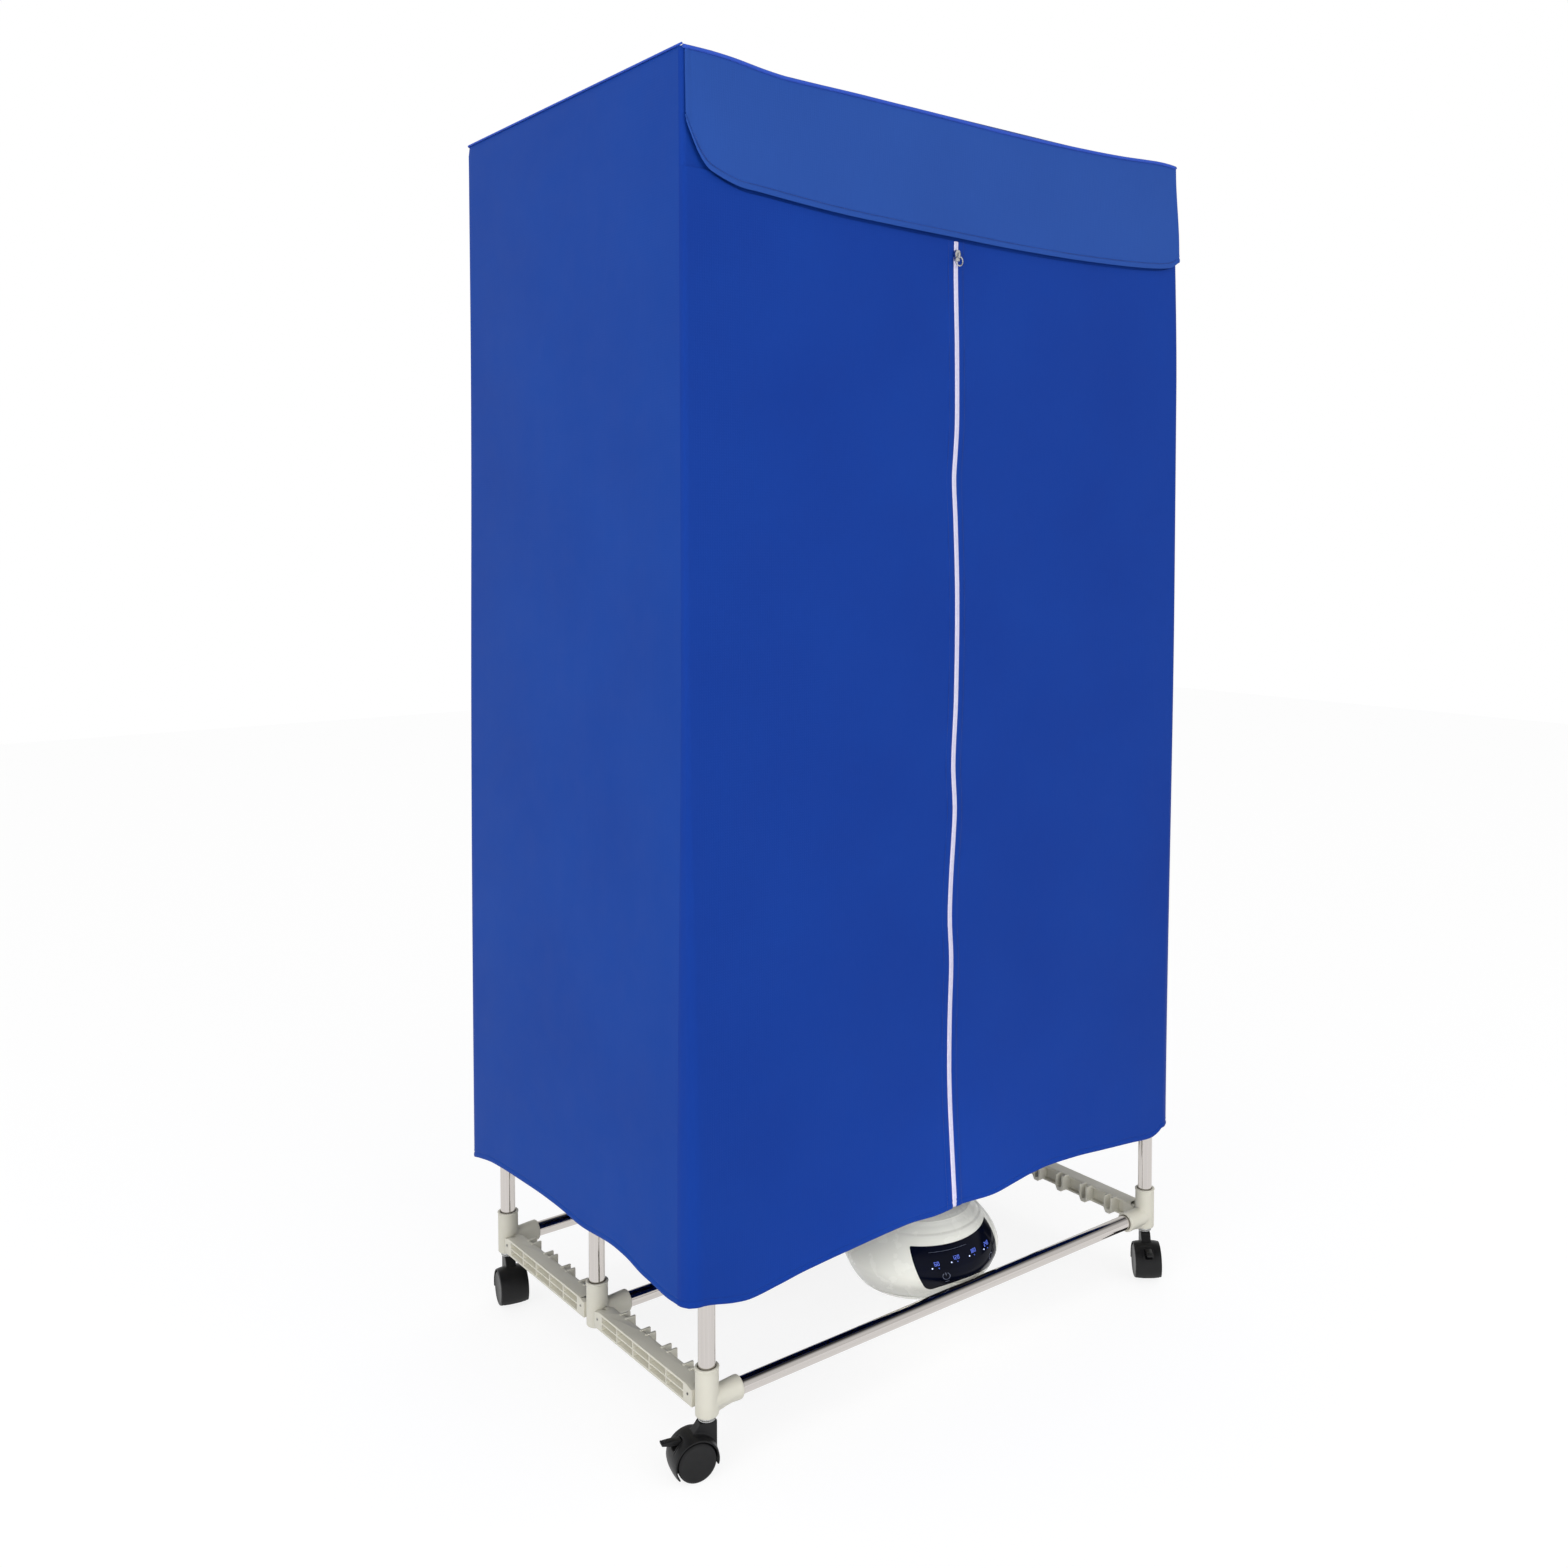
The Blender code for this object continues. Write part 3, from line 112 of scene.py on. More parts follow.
STEM_HOLE_DEPTH = 20.5 * MM

# Rack bars
BAR_EDGE = 0.4 * MM
BAR_SCREW_INSET = 8 * MM
BAR_SCREW_RISE = 1 * MM
SCREW_SIZES = {
    "Head radius": 2.6 * MM, "Head height": 1.6 * MM, "Recess length": 3.2 * MM, "Recess width": 0.8 * MM,
}

# Casters
CASTER_TURNS = {"front_left": 167.0, "front_right": 231.0, "back_left": 258.0, "back_right": 45.0}
WHEEL_TRAIL = 16 * MM
WHEEL_RADIUS = 21.5 * MM
WHEEL_WIDTH = 12.8 * MM
WHEEL_FACE_MM = ((0, 0.2), (17.2, 0.2), (17.8, 0), (18.9, 0), (20.4, 0.5), (21.1, 1.4), (21.5, 3.0))
WHEEL_BACK_MM = ((21.5, 2.0), (20.9, 0), (3.0, 0))
WEB_WIDTH = 9 * MM
HOOD_RADIUS = 26.0 * MM
HOOD_FACE_RADIUS = 24.4 * MM
HOOD_WIDTH = 35.5 * MM
HOOD_BULGE_SHARES = ((0.0, 1.0), (0.35, 0.93), (0.7, 0.6), (1.0, 0.0))
HOOD_MOUTH_DEGREES = (-27, 187)
HOOD_MOUTH_DROP = 5 * MM
HOOD_POCKET = 22.7 * MM
HOOD_POCKET_GAP = 0.4 * MM
HOOD_VOXEL = 0.75 * MM
COLLAR_FOOT = 57.6 * MM
NECK_WIDTH = 13 * MM
NECK_INSET = 0.6 * MM
NECK_TOP = COLLAR_FOOT - 0.4 * MM
NECK_REACH = 9.5 * MM
NECK_SHOULDER = (12 * MM, COLLAR_FOOT - 4 * MM)
NECK_BACK = 18 * MM
NECK_SINK = 1 * MM
STEM_RADIUS = 4 * MM
STEM_FOOT = 40.6 * MM
STEM_RISE = 20 * MM
STEM_TIP_MM = (0.8, 1.0)
STEM_EDGE = 0.15 * MM
HOOD_BORE_RADIUS = 4.5 * MM
HOOD_BORE_FLOOR = 40.2 * MM
COLLAR_FOOT_GAP = 0.2 * MM
COLLAR_HEAD_GAP = 0.3 * MM
COLLAR_FOOT_MM = ((9.0, 0), (9.4, 0.5), (9.2, 1.2), (8.2, 1.7))
COLLAR_HEAD_MM = ((7.9, 0.6), (7.3, 0))

# Brakes
LEVER_PIVOT_REACH = WHEEL_RADIUS + 4.4 * MM
LEVER_PIVOT_TURN = radians(52)
LEVER_OPENING_MM = ((-3.6, -4.6, -8.0), (26.0, 4.6, 9.0))
LEVER_HUB = 3 * MM
LEVER_LENGTH = 19.5 * MM
LEVER_TOP = 3.5 * MM
LEVER_WIDTH = 8.2 * MM
LEVER_BELLY_SHARE = 0.55
LEVER_BELLY_DROP = 1.5 * MM
LEVER_TIP_MM = ((-0.6, -3.0), (0, -2.2), (0, 0))
LEVER_RIBS_START = 1.6 * MM
LEVER_RIB_PITCH = 2 * MM
LEVER_RIB_MM = ((0, 0), (-0.4, -0.5), (-0.8, 0))
LEVER_EDGE = 0.3 * MM
SLIT_PLACE_MM = (19.0, 7.6, 17.0)
SLIT_HALF_MM = (6.0, 0.7, 8.0)
SLIT_TURN = radians(-38)

# Cloth
CLOTH = 0.9 * MM
COVER_STAND = 7.5 * MM
EDGE_ROWS_MM = (0.0, 1.2, 2.8, 4.6, 5.8, 6.6, 7.4, 8.6, 11.0)
EDGE_FORM_MM = (0.0, 0.45, 0.60, 0.45, 0.05, -0.30, 0.05, 0.20, 0.0)
STITCH_LINE = 6.6 * MM
CORNER_RADII = (20 * MM, 7 * MM)
CORNER_TAPER = 0.75
SWELL_MM = (2.6, 1.2)
SWELL_WAVES = (3.1, 0.9)
CREASE_MM = 0.8
CREASE_WAVES = (9.0, 2.4)
CREASE_SLANT = 1.6
FINE_CREASE_MM = 0.16
FINE_CREASE_WAVES = (30.0, 7.0)
HEM_LEVEL = 0.2000
HEM_SWING = 16 * MM
LEFT_HEM_SHARES = (
    (0.00, -0.53), (0.03, -0.50), (0.08, -0.52), (0.13, -0.26), (0.18, -0.09), (0.24, 0.31), (0.31, 0.48),
    (0.43, 0.28), (0.53, 0.55), (0.67, 0.66), (0.86, 0.54), (0.95, 0.10), (1.00, -0.30),
)
FRONT_HEM_SHARES = (
    (0.00, -0.53), (0.05, -1.06), (0.08, -1.22), (0.13, -0.96), (0.17, -0.70), (0.24, -0.44), (0.37, -0.13),
    (0.43, -0.28), (0.51, -0.12), (0.58, -0.28), (0.63, -0.01), (0.67, 0.23), (0.71, 0.34), (0.78, 0.22),
    (0.85, -0.06), (0.92, -0.32), (0.97, -0.51), (0.99, -0.29), (1.00, 0.00),
)
BACK_CORNER_LEAN = 11 * MM
BACK_LEAN_HEIGHT = 1.1
BACK_LEAN_REACH = 0.3
FRONT_DROOP = 14 * MM
FRONT_DROOP_SHARES = (
    (0.00, 0.13), (0.04, 0.14), (0.08, 0.26), (0.13, 0.55), (0.17, 0.68), (0.31, 0.66), (0.49, 0.72),
    (0.62, 0.76), (0.72, 0.70), (0.85, 0.46), (0.92, 0.22), (0.95, 0.12), (0.98, 0.12), (1.00, 0.20),
)
SIDE_CLIMB = 70 * MM
CORNER_DRAW = 8 * MM
CORNER_DRAW_START = 0.20
CORNER_DRAW_BACK = 0.25
CORNER_DRAW_HEIGHT = 0.30

# Walls and top
WALL_ROWS = 100
WALL_SEED = 3.0
WALL_TOP_GAP = 1.0 * MM
WALL_CALM = 120 * MM
WALL_PULL = 1.6 * MM
WALL_PULL_REACH = 5 * MM
TOP_EDGE_STEPS_MM = (0, 1.5, 3, 4.5, 6, 8, 10.5, 13.5, 17, 21, 26, 32, 38, 44, 50, 58)
TOP_STEPS_BETWEEN = 34
TOP_INSET = 0.6 * MM
TOP_GAP = 0.1 * MM
TOP_SAG = 3.5 * MM
TOP_SAG_REACH = 120 * MM
TOP_SLEEVE_GAP = 1.5 * MM
TOP_SLEEVE_SLOPE = 4 * MM
TOP_FRONT_SLOPE = 26 * MM
TOP_SIDE_SLOPE = 20 * MM
TOP_ROLL = 0.8 * MM
TOP_ROLL_REACH = 4 * MM

# Flap, and the fixed band behind it
FLAP_DROP = 150 * MM
FLAP_EDGE_SHARES = (
    (0.000, 0.46), (0.006, 0.54), (0.012, 0.61), (0.020, 0.70), (0.030, 0.78), (0.041, 0.83), (0.082, 0.90),
    (0.116, 0.915), (0.244, 0.96), (0.361, 0.979), (0.466, 0.989), (0.600, 1.0), (0.720, 0.998),
    (0.848, 0.978), (0.938, 0.949), (0.979, 0.915), (1.000, 0.86),
)
FLAP_COLUMNS = 150
FLAP_ROWS = 26
FLAP_SEED = 29.0
FLAP_EVEN_SHARE = 0.55
FLAP_GAP = 3 * MM
FLAP_STAND = 4.8 * MM
FLAP_LIFT = 0.3 * MM
FLAP_INSET = 3.5 * MM
FLAP_RIGHT_INSET = 0.3 * FLAP_INSET
FLAP_TOP_GAP = 1.4 * MM
FLAP_CURL = 2.6 * MM
FLAP_CURL_WIDTH = 26 * MM
FLAP_END_STEP = 1.1 * MM
HEADER_LAP = 18 * MM
HEADER_TOP_GAP = 1.5 * MM
HEADER_SET_BACK = 1.9 * MM

# Door curtains
DOOR_BENDS = 10
DOOR_COLUMNS = 64
DOOR_ROWS = 96
DOOR_SEED = 11.0
DOOR_HEAD_RISE = 30 * MM
DOOR_HEAD_INSET = 2 * MM
DOOR_FOLD_MM = (14.0, 9.0, 7.6, 5.0, 1.2)
DOOR_CALM_START = 6 * MM
DOOR_CALM_REACHES = (0.10, 0.06)
CORNER_SEAM = 0.55 * MM
CORNER_SEAM_WIDTH = 1.3 * MM
PUCKER = 0.35 * MM
PUCKER_PLACE = 9 * MM
PUCKER_WIDTH = 4 * MM
PUCKER_PITCH = 11 * MM
PUCKER_DRIFT = 37 * MM
FOLD_ROLL = 0.55 * MM
FOLD_ROLL_END = 7.5 * MM
FOLD_ROLL_REACH = 2 * MM
FOLD_CREASE = 0.35 * MM
FOLD_CREASE_PLACE = 8.4 * MM
FOLD_CREASE_WIDTH = 0.9 * MM

# Welts round the top
WELT_STEP = 12 * MM
WELT_SEED = 41
WELT_SWAY = 0.5 * MM
FRONT_WELT_RADIUS = 2.0 * MM
FRONT_WELT_DROP = 1.9 * MM
FRONT_WELT_STAND = 0.9 * MM
FRONT_WELT_INSETS = (1 * MM, 3 * MM)
SIDE_WELT_RADIUS = 1.1 * MM
SIDE_WELT_DROP = 1.3 * MM

# Zip and seams
ZIP_LINE = -16 * MM
ZIP_SWING = 6 * MM
ZIP_SWING_SHARES = (
    (0.00, 0.63), (0.04, 0.07), (0.09, -0.63), (0.13, -0.95), (0.18, -0.85), (0.23, -0.50), (0.27, -0.93),
    (0.31, -0.57), (0.34, -0.07), (0.37, 0.30), (0.41, -0.13), (0.47, 0.52), (0.56, 0.77), (0.63, 0.28),
    (0.67, -0.17), (0.69, 0.13), (0.72, 0.55), (0.79, 0.48), (0.82, 0.30), (0.86, 0.10), (0.88, 0.20),
    (1.00, 0.0),
)
TAPE_WIDTH = 7 * MM
TAPE_LAP = 0.6 * MM
TAPE_ROWS = 220
TAPE_COLUMNS_MM = (-9.0, -5.0, -3.6, -2.8, -1.5, 0.0, 1.5, 2.8, 3.5)
TAPE_FOOT = 1.5 * MM
TAPE_STAND = 0.15 * MM
TAPE_CROWN = 0.35 * MM
TAPE_CROWN_WIDTH = 1.4 * MM
TAPE_TUCK = 1.5 * MM
TAPE_TUCK_START = 2.8 * MM
TAPE_TUCK_REACH = 2 * MM
COIL_SHIFT = 0.75 * MM
COIL_STAND = 0.5 * MM
COIL_SIZES = {"Pitch": 1.5 * MM, "Length": 0.9 * MM, "Width": 1.7 * MM, "Height": 0.7 * MM}
DOOR_SEAM_PLACE = 11.4 * MM
DOOR_SEAM_STAND = 0.25 * MM
DOOR_STITCH_SIZES = {"Pitch": 3.0 * MM, "Length": 2.3 * MM, "Width": 0.45 * MM, "Height": 0.5 * MM}
FLAP_SEAM_INSETS = (12 * MM, 8 * MM)
FLAP_SEAM_STAND = 0.35 * MM
FLAP_STITCH_SIZES = {"Pitch": 3.2 * MM, "Length": 2.3 * MM, "Width": 0.5 * MM, "Height": 0.6 * MM}

# Zip slider
SLIDER_HALF_WIDTH = 4.5 * MM
SLIDER_LENGTH = 13 * MM
SLIDER_DEPTH = 4.2 * MM
SLIDER_BACK = 0.4 * MM
SLIDER_STAND = 0.3 * MM
SLIDER_EDGE = 0.5 * MM
SLIDER_OUTLINE_SHARES = ((-0.55, 0), (-1, -0.3), (-0.62, -1), (0.62, -1), (1, -0.3), (0.55, 0))
BRIDGE_CORNERS_MM = ((-1.5, -7.2, -9.5), (1.5, -3.5, -3.5))
BRIDGE_EDGE = 0.9 * MM
PULL_RADIUS = 5.4 * MM
PULL_WIRE_RADIUS = 0.85 * MM
PULL_PLACE = (0, -6.0 * MM, -13.2 * MM)


def linear(hex_colour):
    """An sRGB hex colour as the linear RGBA that a shader takes."""
    channels = [int(hex_colour[place:place + 2], 16) / 255 for place in (1, 3, 5)]
    curved = [c / 12.92 if c <= 0.04045 else ((c + 0.055) / 1.055) ** 2.4 for c in channels]
    return (*curved, 1.0)


def add_node(tree, kind, values=None, links=None, **settings):
    """One node: settings are its own properties, values fill its sockets and links feed them."""
    node = tree.nodes.new(kind)
    for name, value in settings.items():
        setattr(node, name, value)
    for socket, value in (values or {}).items():
        node.inputs[socket].default_value = value
    for socket, source in (links or {}).items():
        tree.links.new(source, node.inputs[socket])
    return node


def eased(table, place):
    """A smooth curve through a table of (place, value) points, level beyond its ends."""
    if place <= table[0][0]:
        return table[0][1]
    if place >= table[-1][0]:
        return table[-1][1]
    index = max(k for k in range(len(table) - 1) if table[k][0] <= place)
    (x1, y1), (x2, y2) = table[index], table[index + 1]
    x0, y0 = table[index - 1] if index else (2 * x1 - x2, y1)
    x3, y3 = table[index + 2] if index + 2 < len(table) else (2 * x2 - x1, y2)
    span = x2 - x1
    slope1, slope2 = (y2 - y0) / (x2 - x0) * span, (y3 - y1) / (x3 - x1) * span
    t = (place - x1) / span
    return (
        y1 * (2 * t ** 3 - 3 * t ** 2 + 1) + slope1 * (t ** 3 - 2 * t ** 2 + t)
        + y2 * (3 * t ** 2 - 2 * t ** 3) + slope2 * (t ** 3 - t ** 2)
    )


# Finishes

def new_look(name, colour, roughness, metallic=0.0, **sockets):
    """A Principled material with its constant sockets set; returns it with its tree and shader."""
    look = bpy.data.materials.new(name)
    look.use_nodes = True
    tree = look.node_tree
    shader = tree.nodes["Principled BSDF"]
    shader.inputs["Base Color"].default_value = linear(colour)
    shader.inputs["Roughness"].default_value = roughness
    shader.inputs["Metallic"].default_value = metallic
    for socket, value in sockets.items():
        shader.inputs[socket.replace("_", " ")].default_value = value
    return look, tree, shader


def place_of(tree, stretch=(1, 1, 1)):
    """Object coordinates in metres, stretched for patterns that run one way."""
    coordinates = add_node(tree, "ShaderNodeTexCoord")
    place = coordinates.outputs["Object"]
    mapping = add_node(tree, "ShaderNodeMapping", {"Scale": stretch}, {"Vector": place})
    return mapping.outputs["Vector"]


def mottled(tree, vector, patch, dark, light, detail=3.0):
    """A colour that drifts between a darker and a lighter tone in patches of a given size."""
    pattern = add_node(tree, "ShaderNodeTexNoise", {"Scale": 1 / patch, "Detail": detail}, {"Vector": vector})
    tones = add_node(
        tree, "ShaderNodeMix", {"A": linear(dark), "B": linear(light)}, {"Factor": pattern.outputs["Fac"]},
        data_type="RGBA",
    )
    return tones.outputs["Result"]


def toned(tree, shader, vector, patch, dark, light):
    """A mottled base colour."""
    tree.links.new(mottled(tree, vector, patch, dark, light), shader.inputs["Base Color"])


def roughened(tree, shader, vector, patch, low, high):
    """Roughness that wanders between two values, as handled and moulded surfaces do."""
    pattern = add_node(tree, "ShaderNodeTexNoise", {"Scale": 1 / patch, "Detail": 4.0}, {"Vector": vector})
    spread = add_node(
        tree, "ShaderNodeMapRange", {"To Min": low, "To Max": high}, {"Value": pattern.outputs["Fac"]},
    )
    tree.links.new(spread.outputs["Result"], shader.inputs["Roughness"])


def bumped(tree, shader, height, distance, strength=1.0):
    bump = add_node(tree, "ShaderNodeBump", {"Distance": distance, "Strength": strength}, {"Height": height})
    tree.links.new(bump.outputs["Normal"], shader.inputs["Normal"])


def grained(tree, shader, vector, grain, distance, strength=0.5):
    """Fine grain of a given size as bump."""
    pattern = add_node(tree, "ShaderNodeTexNoise", {"Scale": 1 / grain, "Detail": 2.0}, {"Vector": vector})
    bumped(tree, shader, pattern.outputs["Fac"], distance, strength)


def moulded_polypropylene():
    """Cream polypropylene, injection moulded: satin, faintly cloudy, with the mould's fine texture."""
    look, tree, shader = new_look("moulded_cream_polypropylene", "#D9D6C8", 0.42, IOR=1.49)
    vector = place_of(tree)
    toned(tree, shader, vector, 28 * MM, "#D3D0C1", "#DEDBCE")
    roughened(tree, shader, vector, 9 * MM, 0.36, 0.50)
    grained(tree, shader, vector, 0.6 * MM, 0.03 * MM)
    return look


def polished_tube(name, stretch):
    """Stainless tube, roll-formed and polished: mirror-like, with faint lines drawn along it."""
    look, tree, shader = new_look(name, "#CFCAC6", 0.14, metallic=1.0)
    vector = place_of(tree, stretch)
    toned(tree, shader, vector, 1.2 * MM, "#C6C0BB", "#D8D3CF")
    roughened(tree, shader, vector, 0.7 * MM, 0.05, 0.13)
    grained(tree, shader, vector, 0.5 * MM, 0.01 * MM, 0.35)
    return look


def black_nylon():
    """Black glass-filled nylon, moulded: dark grey sheen with a dry, slightly dusty surface."""
    look, tree, shader = new_look("moulded_black_nylon", "#1C1C1D", 0.42, IOR=1.53, Specular_IOR_Level=0.22)
    vector = place_of(tree)
    toned(tree, shader, vector, 7 * MM, "#151516", "#1F1F20")
    roughened(tree, shader, vector, 3 * MM, 0.32, 0.50)
    grained(tree, shader, vector, 0.5 * MM, 0.03 * MM)
    return look


def zinc_plate():
    """Zinc-plated steel: bright grey with a slightly cloudy, bluish skin."""
    look, tree, shader = new_look("zinc_plated_steel", "#C9CACB", 0.26, metallic=1.0)
    vector = place_of(tree)
    toned(tree, shader, vector, 2.5 * MM, "#BDBFC2", "#D6D6D4")
    roughened(tree, shader, vector, 1.5 * MM, 0.18, 0.36)
    return look


WEAVE_SCALE = 111.167468
SLUB_STRETCH_SHARES = (1.0, 0.06, 1.0)
FIN_PITCH = 1.5 * MM


def woven_height(tree, vector):
    """A plain weave: two crossed sets of threads 0.9 mm apart, as a height."""
    waves = {}
    for index, axis in enumerate(("X", "Y")):
        wave = add_node(
            tree, "ShaderNodeTexWave", {"Scale": WEAVE_SCALE}, {"Vector": vector}, bands_direction=axis,
        )
        waves[index] = wave.outputs["Fac"]
    return add_node(tree, "ShaderNodeMath", links=waves, operation="MULTIPLY").outputs["Value"]


def polyester_cloth(name, dark, light):
    """Plain-woven polyester with a soft calendered face: deep even blue, slubs, a bluish bloom at grazing.

    The real threads are 0.25 mm apart; they are drawn at 0.9 mm, the finest that shows here.
    """
    look, tree, shader = new_look(
        name, light, 0.62, IOR=1.46, Sheen_Weight=0.08, Sheen_Roughness=0.45,
        Sheen_Tint=linear("#A9BCE8"), Specular_IOR_Level=0.16,
    )
    flat = add_node(tree, "ShaderNodeUVMap", uv_map="cloth").outputs["UV"]
    drift = mottled(tree, flat, 160 * MM, dark, light, 2.0)
    stretched = add_node(tree, "ShaderNodeMapping", {"Scale": SLUB_STRETCH_SHARES}, {"Vector": flat})
    slubs = mottled(tree, stretched.outputs["Vector"], 1.6 * MM, "#D8DCE6", "#FFFFFF", 2.0)
    cloth = add_node(
        tree, "ShaderNodeMix", {"Factor": 0.35}, {"A": drift, "B": slubs}, data_type="RGBA",
        blend_type="MULTIPLY",
    )
    tree.links.new(cloth.outputs["Result"], shader.inputs["Base Color"])
    roughened(tree, shader, flat, 40 * MM, 0.56, 0.70)
    bumped(tree, shader, woven_height(tree, flat), 0.12 * MM, 0.35)
    return look


def sewing_thread():
    """Twisted polyester sewing thread, a little darker than the cloth it sinks into."""
    look, tree, shader = new_look("blue_sewing_thread", "#122F78", 0.60, Sheen_Weight=0.2)
    vector = place_of(tree)
    toned(tree, shader, vector, 1.0 * MM, "#0F2A70", "#1A3C92")
    return look


def zip_webbing():
    """Woven zip tape and nylon coil, off-white with a lavender cast, ribbed across."""
    look, tree, shader = new_look("white_zip_tape", "#D9D5EC", 0.62, Sheen_Weight=0.3, Sheen_Roughness=0.4)
    vector = place_of(tree)
    toned(tree, shader, vector, 3 * MM, "#CCC8E4", "#E6E3F3")
    grained(tree, shader, place_of(tree, (0.3, 1, 1)), 0.8 * MM, 0.08 * MM, 0.6)
    return look


def heater_abs():
    """Warm white ABS, moulded in a polished tool: glossy, even, with faint flow marks."""
    look, tree, shader = new_look(
        "moulded_white_abs", "#F1F1E8", 0.26, IOR=1.53, Coat_Weight=0.25, Coat_Roughness=0.12,
    )
    vector = place_of(tree)
    toned(tree, shader, vector, 45 * MM, "#EDEDE3", "#F4F4EC")
    roughened(tree, shader, vector, 20 * MM, 0.20, 0.33)
    grained(tree, shader, vector, 1.5 * MM, 0.01 * MM, 0.3)
    return look


def acrylic_panel():
    """Black acrylic touch panel, back-printed: mirror gloss over a blue-black depth."""
    look, tree, shader = new_look(
        "black_acrylic_panel", "#05070F", 0.07, IOR=1.49, Specular_IOR_Level=0.09,
    )
    vector = place_of(tree)
    toned(tree, shader, vector, 35 * MM, "#05070E", "#0A0E20")
    roughened(tree, shader, vector, 6 * MM, 0.05, 0.11)
    return look


def panel_print(name, colour, light, glow):
    """Marks lit from behind the panel, the colour of a cool LED."""
    look, tree, shader = new_look(name, colour, 0.40)
    tone = mottled(tree, place_of(tree), 2 * MM, colour, light)
    tree.links.new(tone, shader.inputs["Base Color"])
    tree.links.new(tone, shader.inputs["Emission Color"])
    shader.inputs["Emission Strength"].default_value = glow
    return look


def fan_polymer():
    """Grey reinforced polymer of fan blades: matt, slightly speckled."""
    look, tree, shader = new_look("grey_fan_polymer", "#8B8D8F", 0.50)
    vector = place_of(tree)
    toned(tree, shader, vector, 4 * MM, "#828486", "#959798")
    grained(tree, shader, vector, 0.7 * MM, 0.03 * MM)
    return look


def element_aluminium():
    """Corrugated aluminium fins of the heating element, drawn as fine ribs over a matt disc."""
    look, tree, shader = new_look("finned_aluminium", "#BEBDB9", 0.42, metallic=1.0)
    vector = place_of(tree)
    toned(tree, shader, vector, 3 * MM, "#ADACA8", "#CAC9C5")
    fins = add_node(
        tree, "ShaderNodeTexWave", {"Scale": 1 / (20 * FIN_PITCH)}, {"Vector": vector}, bands_direction="Y",
    )
    bumped(tree, shader, fins.outputs["Fac"], 0.5 * MM, 0.8)
    return look


# Meshes

def plain_mesh(bm, name):
    mesh = bpy.data.meshes.new(name)
    bm.to_mesh(mesh)
    bm.free()
    return mesh


def mesh_from(bm, name):
    """The mesh with its faces turned outwards."""
    bmesh.ops.recalc_face_normals(bm, faces=bm.faces)
    return plain_mesh(bm, name)


def joined(name, meshes):
    bm = bmesh.new()
    for mesh in meshes:
        bm.from_mesh(mesh)
    return plain_mesh(bm, name)


def smoothed(mesh):
    mesh.shade_smooth()
    mesh.set_sharp_from_angle(angle=SMOOTH_ANGLE)
    return mesh


def on_axis(axis, a, b, along):
    """The point that lies along an axis, and a and b in the two other directions."""
    return {"X": (along, a, b), "Y": (a, along, b), "Z": (a, b, along)}[axis]


def bridged(bm, first, second):
    """Faces between two rings with as many vertices."""
    for k in range(len(first)):
        after = (k + 1) % len(first)
        bm.faces.new((first[k], first[after], second[after], second[k]))


def turned(name, profile, axis="Z", sides=SIDES_TURNED):
    """A closed profile of (radius, along) pairs turned about an axis."""
    bm = bmesh.new()
    rings = []
    for radius, along in profile:
        count = 1 if radius == 0 else sides
        turns = [2 * pi * step / sides for step in range(count)]
        rings.append([bm.verts.new(on_axis(axis, radius * cos(t), radius * sin(t), along)) for t in turns])
    for first, second in zip(rings, rings[1:] + rings[:1]):
        for step in range(sides):
            after = (step + 1) % sides
            corners = [first[step % len(first)], first[after % len(first)]]
            corners += [second[after % len(second)], second[step % len(second)]]
            distinct = list(dict.fromkeys(corners))
            if len(distinct) > 2:
                bm.faces.new(distinct)
    return mesh_from(bm, name)


def drilled(radius, start, end, axis="Z"):
    """A plain round cutter."""
    return turned("bore", [(0, start), (radius, start), (radius, end), (0, end)], axis)


def extruded(name, outline, low, high, axis="Y"):
    """A flat outline of pairs extruded along an axis."""
    bm = bmesh.new()
    ends = [[bm.verts.new(on_axis(axis, a, b, along)) for a, b in outline] for along in (low, high)]
    for ring in ends:
        bm.faces.new(ring)
    bridged(bm, *ends)
    return mesh_from(bm, name)


def block(low, high):
    low, high = Vector(low), Vector(high)
    bm = bmesh.new()
    matrix = Matrix.Translation((low + high) / 2) @ Matrix.Diagonal((*(high - low), 1))
    bmesh.ops.create_cube(bm, size=1, matrix=matrix)
    return mesh_from(bm, "block")


def arc(centre, radius, start, end, steps):
    """Points of an arc, angles in degrees from the across axis towards up."""
    turns = [radians(start + (end - start) * step / steps) for step in range(steps + 1)]
    return [(centre[0] + radius * cos(turn), centre[1] + radius * sin(turn)) for turn in turns]


def moved(mesh, x, y, z):
    mesh.transform(Matrix.Translation((x, y, z)))
    return mesh


def new_object(name, mesh):
    obj = bpy.data.objects.new(name, mesh)
    bpy.context.scene.collection.objects.link(obj)
    return obj


def finished_mesh(obj):
    """The object's shape with its modifiers, as a plain smooth mesh; the object goes."""
    bpy.context.view_layer.update()
    evaluated = obj.evaluated_get(bpy.context.evaluated_depsgraph_get())
    mesh = bpy.data.meshes.new_from_object(evaluated)
    bpy.data.objects.remove(obj)
    return smoothed(mesh)


def carved(base, adds=(), cuts=()):
    """The base mesh with solids added and cut."""
    work = new_object("work", base)
    tools = []
    for mesh, operation in [(m, "UNION") for m in adds] + [(m, "DIFFERENCE") for m in cuts]:
        tools.append(new_object("tool", mesh))
        step = work.modifiers.new("carve", "BOOLEAN")
        step.operation = operation
        step.object = tools[-1]
    mesh = finished_mesh(work)
    for tool in tools:
        bpy.data.objects.remove(tool)
    return mesh


